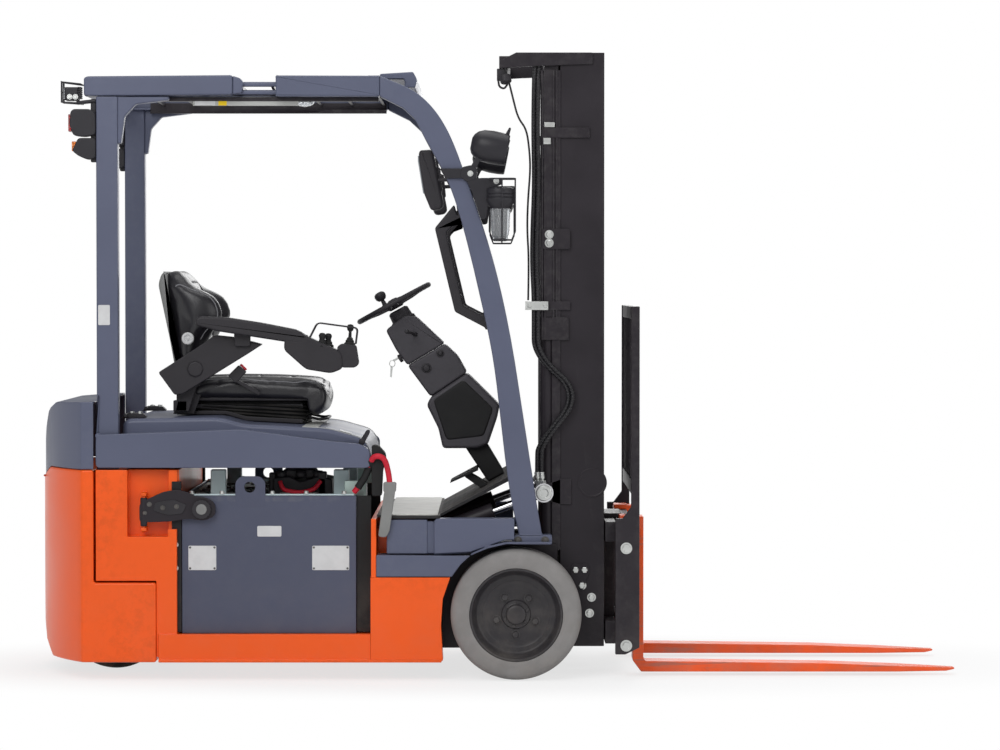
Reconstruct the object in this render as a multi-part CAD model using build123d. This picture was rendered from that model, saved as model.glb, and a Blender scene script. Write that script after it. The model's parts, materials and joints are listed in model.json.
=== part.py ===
"""Three-wheel battery forklift with a three-stage mast, built piece by piece.

X points to the fork tips, Y to the driver's left, Z up, in millimetres, with the floor at Z = 0.
"""

import math
import os

from build123d import *

os.makedirs("parts", exist_ok=True)

# Clearances
RUN = 0.05  # radial gap of a turning pin or shaft
SLIDE = 6.0  # gap between mast rails that slide past each other
SWING = 6.0  # gap between a turning piece and its neighbour
SEAT = 0.3  # gap where a piece rests on what carries it
GLIDE = 0.5  # gap where a piece slides on its rail

# Half widths, from the mast outwards
MAST_HALF = 325.0
PLATE_THICK = 12.0
PLATE_IN = MAST_HALF + 5
PLATE_OUT = PLATE_IN + PLATE_THICK
TYRE_WIDTH = 180.0
TYRE_IN = PLATE_OUT + 8
TRUCK_HALF = TYRE_IN + TYRE_WIDTH
BODY_HALF = TRUCK_HALF - 15
SILL_IN = BODY_HALF - 75
PANEL_IN = BODY_HALF - 85
BATTERY_HALF = BODY_HALF - 35
HOOD_HALF = BODY_HALF - 15
PILLAR_OUT = HOOD_HALF - 22
PILLAR_IN = PILLAR_OUT - 60

# Places along the truck
REAR_END = -1638.0
TAIL_ROUND = 800.0  # radius of the rounded tail seen from above
TAIL_FRONT = -1192.0
COVER_FRONT = -1409.0
BAY_BACK = -1115.0
BAY_FRONT = -445.0
WALL = 16.0
HOOD_BACK = -1402.0
HOOD_FRONT = -449.0
FORK_TIP = 1608.0

# Heights of the body
BODY_LOW = 62.0
SILL_LOW = 68.0
SILL_TOP = 160.0
SHELF_TOP = 339.0
FENDER_LOW = 358.0
FLOOR_LOW = 562.0
BODY_TOP = 731.0
HOOD_LOW = 738.0
ROOF_LOW = 2028.0
ROOF_HIGH = 2100.0

# Front wheels
TYRE_R = 228.0
FRONT_AXLE = (59.0, TYRE_R)
RIM_R = 162.0
SPINDLE_R = 35.0
GEAR_R = 72.0
SPINDLE_END = TRUCK_HALF - 72

# Rear twin wheel
TWIN_R = 188.0
REAR_AXLE = (-1374.0, TWIN_R)
TWIN_IN = 42.0
TWIN_OUT = 145.0
TWIN_RIM_R = 104.0
TWIN_PIN_R = 25.0
SHOULDER = 8.0
ARCH_R = math.hypot(TWIN_OUT, TWIN_R) + SWING
TURNTABLE_Z = 405.0
TURNTABLE_THICK = 34.0
STEER_NECK_R = 60.0
STEER_PLATE_Z = 455.0

# Battery
BATTERY_BACK = -1105.0
BATTERY_FRONT = -498.0
BATTERY_TOP = 641.0

# Hood and its hinge
HOOD_PIN = (-1395.0, 850.0)
HOOD_PIN_R = 5.0
SKIN = 8.0

# Gate beside the battery
GATE_POST = (-1235.0, -HOOD_HALF + 3)
GATE_PIN_R = 5.0

# Steering
WHEEL_CENTRE = (-380.0, 1308.0)
WHEEL_TILT = 28.5
WHEEL_R = 141.0
STEER_SHAFT_R = 10.0

# Mast
MAST_BACK = 215.0
MAST_FRONT = 370.0
MAST_LOW = 99.0
MAST_TOP = 2190.0
FLANGE = 18.0
OUTER_IN = MAST_HALF - 53
MIDDLE_OUT = OUTER_IN - SLIDE
MIDDLE_IN = MIDDLE_OUT - 44
INNER_OUT = MIDDLE_IN - SLIDE
INNER_IN = INNER_OUT - 44
FOOT_HALF = OUTER_IN - 10 - SWING  # the middle stage passes between the bearings
ROLLER_R = (MAST_FRONT - MAST_BACK) / 2 - FLANGE - GLIDE
TILT_PIVOT = (175.0, 180.0)
TILT_PIN_R = 20.0
LIFT_Y = MAST_HALF - 28
LIFT_X = 172.0
LIFT_BARREL_R = 28.0
LIFT_ROD_R = 17.0
FREE_LIFT_X = 292.0
FREE_LIFT_R = 45.0
FREE_ROD_R = 22.0

# Tilt cylinders
TILT_BASE = (-300.0, 470.0)
TILT_EYE = (157.0, 643.0)
TILT_Y = MAST_HALF + 25
TILT_BARREL_R = 33.0
TILT_ROD_R = 16.0

# Carriage and forks
CARRIAGE_BACK = 372.0
CARRIAGE_FRONT = 412.0
CARRIAGE_TOP = 540.0
UPPER_BAR = 470.0  # lower edge of the upper bar
LOWER_BAR = 190.0  # upper edge of the lower bar
SHIFT = 100.0  # travel of the side shifter each way
BAR_BACK = 438.0
BAR_TOP = 545.0
BAR_END = 451.0
CARRIAGE_END = BAR_END - SHIFT - SWING
FORK_Y = 305.0
FORK_W = 100.0
FORK_FACE = 508.0
FORK_THICK = 38.0
FORK_BACK = FORK_FACE - FORK_THICK
BAR_FRONT = FORK_BACK - GLIDE
FORK_LOW = 12.0

# The drawing's zero lies this far behind the middle of the truck's length
CENTRE_SHIFT = (-REAR_END - FORK_TIP) / 2


def outline(corners):
    """A closed face from (a, b) corners, where a third number rounds that corner."""
    points = [(c[0], c[1]) for c in corners]
    radii = [c[2] if len(c) == 3 else 0 for c in corners]
    return make_face(FilletPolyline(*points, radius=radii, close=True).edges())


def block(x0, x1, y0, y1, z0, z1):
    middle = Pos((x0 + x1) / 2, (y0 + y1) / 2, (z0 + z1) / 2)
    return middle * Box(x1 - x0, y1 - y0, z1 - z0)


def across(corners, y0, y1):
    """An outline in X and Z, given thickness along Y."""
    return extrude(Plane.XZ.offset(-y1) * outline(corners), amount=y1 - y0, dir=(0, -1, 0))


def upward(corners, z0, z1):
    """An outline in X and Y, given height along Z."""
    return extrude(Plane.XY.offset(z0) * outline(corners), amount=z1 - z0, dir=(0, 0, 1))


def rod(start, end, radius):
    axis = Vector(*end) - Vector(*start)
    base = Plane(origin=start, z_dir=axis)
    return base * Cylinder(radius, axis.length, align=(Align.CENTER, Align.CENTER, Align.MIN))


def pin(x, z, y0, y1, radius):
    """A round bar along Y."""
    return rod((x, y0, z), (x, y1, z), radius)


def drum(x, y, z0, z1, radius):
    """A round bar along Z."""
    return rod((x, y, z0), (x, y, z1), radius)


def hose(points, across_flats, bend):
    """A six-sided hose along rounded corners."""
    path = FilletPolyline(*points, radius=bend)
    section = RegularPolygon(across_flats / 2, 6, major_radius=False)
    return sweep(Plane(origin=path @ 0, z_dir=path % 0) * section, path=path)


def lathe(corners, x, z):
    """A (y, radius) outline turned about the line along Y through x, z."""
    face = Plane(origin=(x, 0, z), x_dir=(0, 1, 0), z_dir=(1, 0, 0)) * outline(corners)
    return revolve(face, axis=Axis((x, 0, z), (0, 1, 0)))


def flip(shape):
    return mirror(shape, about=Plane.XZ)


def both(shape):
    return shape + flip(shape)


def save(name, shape):
    export_step(Pos(CENTRE_SHIFT, 0, 0) * shape, f"parts/{name}.step")


# Wheels


def tyre(low, high, bore, radius, shoulder):
    """The (y, radius) outline of a solid tyre with a chamfer at each shoulder."""
    return [
        (low, bore),
        (low, radius - shoulder),
        (low + shoulder, radius),
        (high - shoulder, radius),
        (high, radius - shoulder),
        (high, bore),
    ]


def front_tyre():
    return lathe(tyre(TYRE_IN, TRUCK_HALF, RIM_R, TYRE_R, 2 * SHOULDER), *FRONT_AXLE)


def front_rim():
    """A deep dish whose disc is carried on the end of the axle shaft."""
    low, high = TYRE_IN + 6, TRUCK_HALF - 6
    face, back, cap = high - 34, high - 84, high - 12
    bore, end = SPINDLE_R + RUN, SPINDLE_END + 4
    profile = [
        (back, bore),
        (back, RIM_R - 26),
        (low, RIM_R - 20),
        (low, RIM_R),
        (high, RIM_R),
        (high, RIM_R - 12),
        (face, RIM_R - 24),
        (face, 44),
        (cap, 32),
        (cap, 0),
        (end, 0),
        (end, bore),
    ]
    return lathe(profile, *FRONT_AXLE)


def twin_tyre():
    return lathe(tyre(TWIN_IN, TWIN_OUT, TWIN_RIM_R, TWIN_R, SHOULDER), *REAR_AXLE)


def twin_rim():
    low, high = TWIN_IN + 2, TWIN_OUT - 6
    face, cap, end = high - 43, high - 19, high - 31
    bore = TWIN_PIN_R + RUN
    profile = [
        (low, bore),
        (low, TWIN_RIM_R),
        (high, TWIN_RIM_R),
        (high, TWIN_RIM_R - 12),
        (face, TWIN_RIM_R - 20),
        (face, 46),
        (cap, 40),
        (cap, 0),
        (end, 0),
        (end, bore),
    ]
    return lathe(profile, *REAR_AXLE)


def steer_knuckle():
    """Post between the twin wheels, hanging from the turntable bearing."""
    x, z = REAR_AXLE
    half = TWIN_IN - SWING
    ring_top = TURNTABLE_Z + TURNTABLE_THICK
    foot = [
        (x - 60, TURNTABLE_Z),
        (x - 48, z),
        (x - 22, z - 56),
        (x + 22, z - 56),
        (x + 48, z),
        (x + 60, TURNTABLE_Z),
    ]
    shaft_end = TWIN_OUT - 43
    knuckle = drum(x, 0, TURNTABLE_Z, ring_top, 125) + across(foot, -half, half)
    knuckle += pin(x, z, -shaft_end, shaft_end, TWIN_PIN_R)
    return knuckle + drum(x, 0, ring_top, STEER_PLATE_Z + 24, STEER_NECK_R)


# Chassis


def frame():
    """Battery bay, sills and the boxes beside the counterweight, with the steering bearing."""
    sill_out = BODY_HALF - 3
    front_wall = BAY_FRONT + 18
    side = block(TAIL_FRONT + 8, BAY_FRONT, SILL_IN, sill_out, SILL_LOW, SILL_TOP)
    side += block(TAIL_FRONT + 8, -200, SILL_IN - 4, BODY_HALF + 3, BODY_LOW, SILL_LOW + 4)
    panel = [
        (BAY_FRONT - 2, SILL_LOW),
        (BAY_FRONT - 2, FENDER_LOW),
        (-170, FENDER_LOW),
        (-196, 282),
        (-202, 189),
        (-195, SILL_LOW),
    ]
    side += across(panel, PANEL_IN, BODY_HALF)
    box = block(HOOD_BACK, BAY_BACK - 5, SILL_IN, BODY_HALF - 10, SHELF_TOP + 6, BODY_TOP)
    box -= block(-1292, -1151, SILL_IN + 12, BODY_HALF, 499, BODY_TOP)
    box -= block(-1152, BAY_BACK, BODY_HALF - 33, BODY_HALF, 525, BODY_TOP)
    side += box
    side += block(TAIL_FRONT + SEAT, BAY_BACK - 5, 400, BODY_HALF - 10, 80, SHELF_TOP + 10)
    body = both(side + tilt_clevis(front_wall))
    body += block(BAY_FRONT, front_wall, -sill_out, sill_out, 150, FLOOR_LOW - SEAT)
    body += block(BAY_FRONT, front_wall, -305, 305, 80, 160)
    body += block(BAY_BACK - WALL, BAY_BACK, -SILL_IN - 30, SILL_IN + 30, 80, BODY_TOP)
    body += block(BAY_BACK - WALL, front_wall, -SILL_IN - 1, SILL_IN + 1, 110, SILL_TOP)
    return body + steer_bearing() + gate_post()


def tilt_clevis(wall):
    """Two ears and a pin that hold the foot of one tilt cylinder."""
    x, z = TILT_BASE
    ear = [(wall - 1, z - 40), (wall - 1, z + 50), (x + 15, z + 32), (x + 33, z), (x + 15, z - 30)]
    clevis = across(ear, TILT_Y - 32, TILT_Y - 22) + across(ear, TILT_Y + 22, TILT_Y + 32)
    return clevis + pin(x, z, TILT_Y - 32, TILT_Y + 32, TILT_PIN_R)


def steer_bearing():
    x = REAR_AXLE[0]
    low, half = STEER_PLATE_Z, 150
    bearing = block(x - half, BAY_BACK - 2, -half, half, low, low + 25)
    bearing += drum(x, 0, low + 23, low + 143, 90)
    return bearing - drum(x, 0, low - 1, low + 30, STEER_NECK_R + RUN)


def gate_post():
    x, y = GATE_POST
    post = drum(x, y, 515, 655, GATE_PIN_R)
    for z in (518, 640):
        post += block(x - 9, x + 9, y - 8, -SILL_IN - 10, z, z + 12)
    return post


def front_frame():
    """The two axle plates with the mast between them, and the members that tie them together."""
    foot = TILT_PIVOT[1]
    plate = across([(-205, 95), (-205, 462), (205, 462), (205, 120), (150, 95)], PLATE_IN, PLATE_OUT)
    tab = [(120, 110), (150, foot + 45), (190, foot + 45), (203, foot + 20), (203, foot - 20), (190, 110)]
    plate += across(tab, MAST_HALF - 10, PLATE_OUT)
    plate -= pin(*FRONT_AXLE, PLATE_IN - 20, PLATE_OUT + 8, 92)
    plate += block(-225, -200, PLATE_IN, PANEL_IN, 95, FENDER_LOW)
    body = both(plate) + block(-150, -110, -PLATE_IN - 1, PLATE_IN + 1, 330, 440)
    return body + block(-200, 30, -120, 120, 340, 360) + block(BAY_FRONT + 18, -140, -60, 60, 335, 430)


def tail_plan(back, half, low, high):
    """The tail seen from above: a wide arc at the back and straight sides, up to the battery bay."""
    swing = math.asin(half / TAIL_ROUND)
    corner = back + TAIL_ROUND * (1 - math.cos(swing))
    arc = ThreePointArc((corner, -half), (back, 0), (corner, half))
    sides = Polyline((corner, half), (TAIL_FRONT, half), (TAIL_FRONT, -half), (corner, -half))
    face = Plane.XY.offset(low) * make_face([arc, sides])
    return extrude(face, amount=high - low, dir=(0, 0, 1))


def counterweight():
    back, x = REAR_END, REAR_AXLE[0]
    wide = BODY_HALF + 85
    shape = tail_plan(back, BODY_HALF, BODY_LOW, BODY_TOP)
    shape -= block(COVER_FRONT, BAY_BACK, -wide, wide, SHELF_TOP, BODY_TOP + 50)
    shape += block(COVER_FRONT - 1, TAIL_FRONT + 32, -SILL_IN + 10, SILL_IN - 10, 620, BODY_TOP - 6)
    foot = [
        (back - 90, 40),
        (back - 90, 690),
        (back + 4, 690),
        (back, 660),
        (back, 560),
        (back + 12, 180),
        (back + 28, 110),
        (back + 60, BODY_LOW),
        (back + 60, 40),
    ]
    brow = [(back - 90, 690), (back + 3, 690), (back + 50, BODY_TOP), (back + 50, 760), (back - 90, 760)]
    shape -= across(foot, -wide, wide) + across(brow, -wide, wide)
    shape -= drum(x, 0, 0, 612, ARCH_R)
    return shape - block(x, BAY_BACK, -ARCH_R, ARCH_R, 0, 612)


def rear_cover():
    back, half = REAR_END, BODY_HALF - 7
    profile = [
        (back + 4, 691),
        (back + 12, 813),
        (back + 22, 868, 60),
        (back + 42, 935, 40),
        (back + 80, 963, 30),
        (COVER_FRONT, 969),
        (COVER_FRONT, BODY_TOP + 2),
        (back + 51, BODY_TOP + 2),
    ]
    inside = [
        (back + 12, 600),
        (back + 20, 813),
        (back + 30, 868, 50),
        (back + 50, 928, 30),
        (back + 84, 955, 22),
        (COVER_FRONT + 19, 961),
        (COVER_FRONT + 19, 600),
    ]
    shell = across(profile, -half, half) & tail_plan(back + 4, half, 680, 1000)
    hollow = across(inside, -half + SKIN, half - SKIN) & tail_plan(back + 12, half - SKIN, 590, 990)
    return shell - hollow


def cowl_side():
    """Sill cover, two step boxes and the curved fender over one front wheel."""
    wall = BAY_FRONT + 18
    sill = across(
        [(wall, 360), (-165, 360), (-133, 404), (-100, 433), (wall, 436)], BODY_HALF - 45, BODY_HALF
    )
    step = block(-391, -250, SILL_IN, HOOD_HALF, 439, 558)
    step += block(-255, -222, SILL_IN, HOOD_HALF - 8, 439, 552)
    step += across(
        [(-226, 439), (-98, 446), (24, 488), (53, 488), (53, 562), (-226, 562, 14)],
        SILL_IN,
        HOOD_HALF + 5,
    )
    top = [(-100, 434), (-98, 441), (-40, 467), (24, 481), (184, 481), (184, 474), (24, 474), (-40, 459)]
    return sill + step + across(top, TYRE_IN - 7, BODY_HALF + 5)


def floor_plates():
    side, inner = HOOD_HALF, SILL_IN
    wall = BAY_FRONT + 18
    floor = upward(
        [
            (wall, -inner),
            (-391, -inner),
            (-391, -side),
            (-206, -side),
            (-206, side),
            (-391, side),
            (-391, inner),
            (wall, inner),
        ],
        FLOOR_LOW,
        FLOOR_LOW + 10,
    )
    edge = SILL_IN - 40
    toe = across([(-206, FLOOR_LOW), (-206, FLOOR_LOW + 10), (36, 704), (44, 692)], -edge, edge)
    return floor + toe


def drive_axle():
    """The two drive motors on one line, with their shafts."""
    x, z = FRONT_AXLE
    gear = MAST_HALF + 18
    motor = [
        (30, 0),
        (30, 104),
        (250, 104),
        (250, GEAR_R),
        (gear, GEAR_R),
        (gear, SPINDLE_R),
        (SPINDLE_END, SPINDLE_R),
        (SPINDLE_END, 0),
    ]
    return both(lathe(motor, x, z)) + pin(x, z, -30, 30, 60) + block(-160, x, -50, 50, 200, 329)


def mast_bearing():
    """Ear on the axle with the pin on which one side of the mast tilts."""
    x, z = FRONT_AXLE
    px, pz = TILT_PIVOT
    ear = [
        (x, z - 40),
        (x, z + 20),
        (px - 20, pz + 25),
        (px + 20, pz + 25),
        (px + 28, pz),
        (px + 20, pz - 28),
        (px - 25, pz - 30),
    ]
    bearing = across(ear, OUTER_IN - 10, OUTER_IN + 7) - pin(x, z, 0, MAST_HALF, GEAR_R + SEAT)
    return bearing + pin(px, pz, OUTER_IN - 10, MAST_HALF - 10, TILT_PIN_R)


# Overhead guard


def front_pillar():
    """One curved front pillar, from its foot on the fender up to the roof's side rail."""
    outer = [(-262, 2021), (-201, 1948), (-123, 1771), (-41, 1530), (19, 1297), (62, 1063), (97, 833)]
    outer.append((150, 502))
    inner = [(69, 502), (2, 931), (-24, 1130), (-58, 1297), (-114, 1530), (-196, 1771), (-236, 1844)]
    top, end = (-336, 2067), (-292, 1948)
    edge = [
        Line((-415, ROOF_HIGH), top),
        Spline(top, *outer),
        Line(outer[-1], inner[0]),
        Spline(*inner, end),
        Line(end, (-336, 1989)),
        Line((-336, 1989), (-415, ROOF_LOW)),
        Line((-415, ROOF_LOW), (-415, ROOF_HIGH)),
    ]
    face = Plane.XZ.offset(-PILLAR_OUT) * make_face(edge)
    pillar = extrude(face, amount=PILLAR_OUT - PILLAR_IN, dir=(0, -1, 0))
    return pillar + block(55, 184, PILLAR_IN - 6, PILLAR_OUT + 6, 482, 503)


def rear_pillar():
    """One straight rear pillar with its roof gusset and the pin on which the hood turns."""
    pillar = block(-1400, -1325, PILLAR_IN + 6, PILLAR_OUT, BODY_TOP, ROOF_LOW)
    gusset = [
        (-1326, 1865),
        (-1314, 1865),
        (-1301, 1959),
        (-1263, 2001),
        (-1147, ROOF_LOW - 12),
        (-1147, ROOF_LOW),
        (-1326, ROOF_LOW),
    ]
    pillar += across(gusset, PILLAR_IN + 12, PILLAR_OUT - 8)
    return pillar + pin(*HOOD_PIN, PILLAR_OUT - 20, HOOD_HALF - 1, HOOD_PIN_R)


def guard_roof():
    """Side rails, front and rear members and the slanted slats between them."""
    half = PILLAR_IN + 10
    rail = [(-1442, ROOF_LOW), (-1442, ROOF_HIGH - 6, 12), (-926, ROOF_HIGH + 2), (-415, ROOF_HIGH)]
    rail.append((-415, ROOF_LOW))
    roof = both(across(rail, PILLAR_IN, PILLAR_OUT))
    brow = [(-416, 2090), (-416, 2112), (-300, 2118), (-284, 2090), (-290, 2060), (-330, 2060)]
    brow.append((-330, 2090))
    roof += across(brow, -PILLAR_IN + SEAT, PILLAR_IN - SEAT)
    roof += block(-460, -415, -half, half, 2088, 2104)
    roof += block(-1440, -1380, -half, half, ROOF_LOW + 2, ROOF_HIGH - 8)
    for step in range(8):
        x = -430 - 117 * step
        slat = [(x - 4, 2042), (x + 8, 2042), (x - 10, 2080), (x - 22, 2080)]
        roof += across(slat, -half, half)
    return roof


def grab_handle():
    face = PILLAR_IN - SEAT
    bar = [
        (-157, 1655),
        (-225, 1572),
        (-155, 1280),
        (-48, 1224),
        (-57, 1268),
        (-124, 1302),
        (-184, 1556),
        (-140, 1602),
    ]
    handle = across(bar, PILLAR_IN - 26, face)
    handle += across([(-150, 1656), (-124, 1648), (-112, 1604), (-142, 1601)], PILLAR_IN - 26, face)
    return handle + across([(-58, 1270), (-26, 1262), (-16, 1222), (-48, 1222)], PILLAR_IN - 26, face)


def mirror_glass():
    inner = PILLAR_IN - 68
    plate = across(
        [(-270, 1850), (-232, 1838), (-196, 1640), (-222, 1620), (-262, 1660), (-282, 1830)],
        inner,
        PILLAR_IN - 6,
    )
    plate += block(-240, -150, PILLAR_IN - 22, PILLAR_IN - 12, 1732, 1746)
    return plate + block(-174, -146, PILLAR_IN - 22, PILLAR_IN - SEAT, 1724, 1756)


def front_lamp():
    """Round working lamp on a flat bracket at the pillar's outer side."""
    y = PILLAR_OUT - 14
    lamp = Plane(origin=(-56, y, 1859), z_dir=(1, 0, -0.15)) * Cone(30, 54, 76)
    lamp += block(-110, -70, PILLAR_OUT + SEAT, PILLAR_OUT + 13, 1764, 1850)
    return lamp + block(-190, -80, PILLAR_OUT + SEAT, PILLAR_OUT + 13, 1764, 1794)


def signal_lamp():
    """Upright signal lamp in front of the pillar."""
    y = PILLAR_OUT + 18
    lamp = drum(6, y, 1580, 1719, 28)
    lamp += block(-80, 0, PILLAR_OUT + SEAT, PILLAR_OUT + 11, 1692, 1708)
    return lamp + block(-140, -75, PILLAR_OUT + SEAT, PILLAR_OUT + 11, 1680, 1730)


def rear_lamp():
    """Working lamp, two signal lamps and their strap behind one rear pillar."""
    middle = PILLAR_OUT - 28
    lamp = block(-1492, -1440, middle - 30, middle + 30, 1890, 1980)
    lamp += block(-1483, -1440, middle - 26, middle + 26, 1812, 1884)
    lamp += block(-1441, -1400 - SEAT, middle - 10, middle + 10, 1820, 1970)
    work = Plane(origin=(-1485, middle, 2050), z_dir=(-1, 0, -0.2)) * Cylinder(38, 46)
    work += block(-1470, -1442 - SEAT, middle - 10, middle + 10, 2040, 2060)
    return lamp + work


# Driver's place


def steering_column():
    cowl = [
        (-409, 1211),
        (-344, 1262),
        (-300, 1262),
        (-150, 1121),
        (-115, 1059),
        (2, 942, 20),
        (-40, 800),
        (-80, 786),
        (-203, 786),
        (-219, 858),
        (-261, 942),
        (-247, 972),
        (-371, 1139),
    ]
    column = across(cowl, -75, 75)
    column += across([(-110, 800), (-60, 800), (20, 696), (-40, 663.5)], -45, 45)
    centre, down = steering_line()
    column += rod(tuple(centre + down * 24), tuple(centre + down * 110), 22)
    return column + rod(tuple(centre + down * 6), tuple(centre + down * 30), STEER_SHAFT_R)


def steering_line():
    tilt = math.radians(WHEEL_TILT)
    down = Vector(math.sin(tilt), 0, -math.cos(tilt))
    return Vector(WHEEL_CENTRE[0], 0, WHEEL_CENTRE[1]), down


def steering_wheel():
    """Rim of six-sided section, three spokes, a hub and the spinner knob."""
    centre, down = steering_line()
    across_wheel = Vector(-down.Z, 0, down.X)
    seat = Plane(origin=centre, x_dir=across_wheel, z_dir=down * -1)
    ring = Plane.XZ * Pos(WHEEL_R, 0) * RegularPolygon(10, 6)
    rim = revolve(ring, axis=Axis.Z)
    base = (Align.CENTER, Align.CENTER, Align.MIN)
    hub = Pos(0, 0, -21) * extrude(RegularPolygon(34, 12), amount=30)
    bore = Pos(0, 0, -30) * Cylinder(STEER_SHAFT_R + RUN, 26, align=base)
    spokes = Box(2 * WHEEL_R - 8, 26, 10) + Pos(0, -WHEEL_R / 2, 0) * Box(26, WHEEL_R - 4, 10)
    knob = Pos(WHEEL_R, 0, 0) * Box(24, 24, 24)
    knob += Pos(WHEEL_R, 0, 10) * Box(12, 12, 30, align=base)
    knob += Pos(WHEEL_R, 0, 34) * extrude(RegularPolygon(20, 8), amount=28)
    return seat * (rim + hub + spokes + Rot(0, 0, 135) * knob - bore)


def pedal(y, half):
    pad = across([(-176, 668), (-170, 676), (-80, 724), (-74, 714)], y - half, y + half)
    return pad + across([(-124, 690), (-108, 704), (-40, 663.3), (-66, 649.1)], y - 9, y + 9)


def battery_case():
    """The battery's steel tray as one block, with its lifting eyes, connectors and cell covers."""
    half, top = BATTERY_HALF, BATTERY_TOP
    case = block(BATTERY_BACK, BATTERY_FRONT, -half, half, SILL_TOP, top)
    ear = [(-913, top - 10), (-913, top + 53), (-900, top + 67), (-832, top + 67), (-818, top + 53)]
    ear.append((-818, top - 10))
    eye = across(ear, half - 10, half) - pin(-866, top + 30, half - 15, half + 5, 24)
    case += both(eye)
    case += block(-796, -588, -330, -120, top - 1, top + 59)
    case += block(-780, -640, -300, -160, top + 58, top + 81)
    for x in (-985, -553):
        case += block(x - 28, x + 28, -380, 380, top - 1, top + 49)
    return case + block(-900, -600, 60, 380, top - 1, top + 39)


def battery_plug():
    """The battery's plug held at the step, and its lead."""
    face = HOOD_HALF + SEAT
    plug = across([(-397, 690), (-360, 690), (-392, 500), (-420, 500)], -face - 24, -face)
    lead = [
        (-505, -face + 40, 652),
        (-462, -face - 11, 690),
        (-432, -face - 11, 776),
        (-390, -face - 11, 760),
        (-379, -face - 11, 680),
    ]
    return plug + hose(lead, 20, 20)


def battery_gate():
    """Plate that swings across the battery's rear end, with its latch knob."""
    x, y = GATE_POST
    y0, y1 = y - 9, y + 9
    plate = across(
        [
            (x - 15, 560),
            (x - 15, 612),
            (-1190, 628),
            (-1140, 628),
            (-1120, 600),
            (-1060, 596),
            (-1020, 586),
            (-1020, 556),
            (-1140, 548),
        ],
        y0,
        y1,
    )
    gate = plate + drum(x, y, 540, 630, GATE_PIN_R + 4) + pin(-1035, 571, y0 - 8, y1, 37)
    return gate - drum(x, y, 530, 640, GATE_PIN_R + RUN)


# Hood and seat


def hood_crown():
    """The hood's middle seen from the side, which the bevels at both edges follow."""
    return [
        (-973, 911, 30),
        (-899, 888, 30),
        (-600, 872, 80),
        (-470, 835, 60),
        (HOOD_FRONT + 4, 770, 30),
        (HOOD_FRONT + 4, HOOD_LOW),
    ]


def hood():
    """Raised crown between the pillars, with lower wings outside them and a hinge knuckle on each."""
    rear, back = -1232, -1318
    crown_half = PILLAR_IN - SWING
    wing = [
        (HOOD_BACK, HOOD_LOW, 30),
        (HOOD_BACK, 854),
        (rear, 858),
        (-900, 872),
        (-582, 831),
        (-484, 822),
        (HOOD_FRONT, 800),
        (HOOD_FRONT, HOOD_LOW),
    ]
    inside = [
        (back + SKIN, 700),
        (back + SKIN, 897),
        (-976, 903, 30),
        (-902, 880, 30),
        (-604, 864, 80),
        (-478, 829, 60),
        (HOOD_FRONT - 6, 768, 30),
        (HOOD_FRONT - 6, 700),
    ]
    crown = across([(back, HOOD_LOW), (back, 905)] + hood_crown(), -crown_half, crown_half)
    shell = crown - across(inside, -HOOD_HALF, HOOD_HALF)
    shelf = [
        (rear, 846),
        (rear, 858),
        (-900, 872),
        (-582, 831),
        (-484, 822),
        (HOOD_FRONT, 800),
        (HOOD_FRONT, HOOD_LOW + 2),
        (HOOD_FRONT - 8, HOOD_LOW + 2),
        (HOOD_FRONT - 8, 792),
        (-490, 812),
        (-584, 821),
        (-902, 860),
    ]
    side = across(wing, HOOD_HALF - 12, HOOD_HALF) + across(shelf, crown_half - 6, HOOD_HALF - 5)
    side += pin(*HOOD_PIN, PILLAR_OUT + 3, HOOD_HALF, HOOD_PIN_R + 4)
    side -= pin(*HOOD_PIN, PILLAR_OUT, HOOD_HALF + 1, HOOD_PIN_R + RUN)
    return shell + both(side)


def seat_frame():
    """Seat pan with its rails on the hood, and the shell behind the backrest."""
    base = across([(-1157, 913), (-1157, 975 - SEAT), (-677, 975 - SEAT), (-677, 913)], -215, 215)
    shell = [
        (-1226, 980),
        (-1238, 1384),
        (-1184, 1400),
        (-1184, 1200),
        (-1150, 1036),
        (-1120, 960),
        (-1180, 950),
    ]
    base += across(shell, -205, 205)
    foot = [(-1150, 911.5), (-973, 911.5), (-899, 889.5), (-700, 879), (-700, 914), (-1150, 914)]
    return base + across(foot, -190, -150) + across(foot, 150, 190)


def seat_cushion():
    profile = [
        (-1100, 975),
        (-1090, 1032, 20),
        (-950, 1037),
        (-690, 1030, 40),
        (-602, 1000, 30),
        (-615, 930, 20),
        (-665, 905),
        (-675, 915),
        (-675, 975),
    ]
    return across(profile, -235, 235)


def seat_backrest():
    """Back cushion with a wing that reaches forward at each side."""
    profile = [
        (-1149, 1040),
        (-1183, 1200),
        (-1183, 1405),
        (-1168, 1440, 20),
        (-1105, 1420, 30),
        (-1060, 1250, 60),
        (-1068, 1050, 20),
    ]
    wing = [
        (-1120, 1100),
        (-1040, 1130),
        (-1020, 1210),
        (-945, 1245),
        (-935, 1290),
        (-960, 1328),
        (-1044, 1357),
        (-1110, 1400),
    ]
    return across(profile, -240, 240) + both(across(wing, 165, 240))


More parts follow.
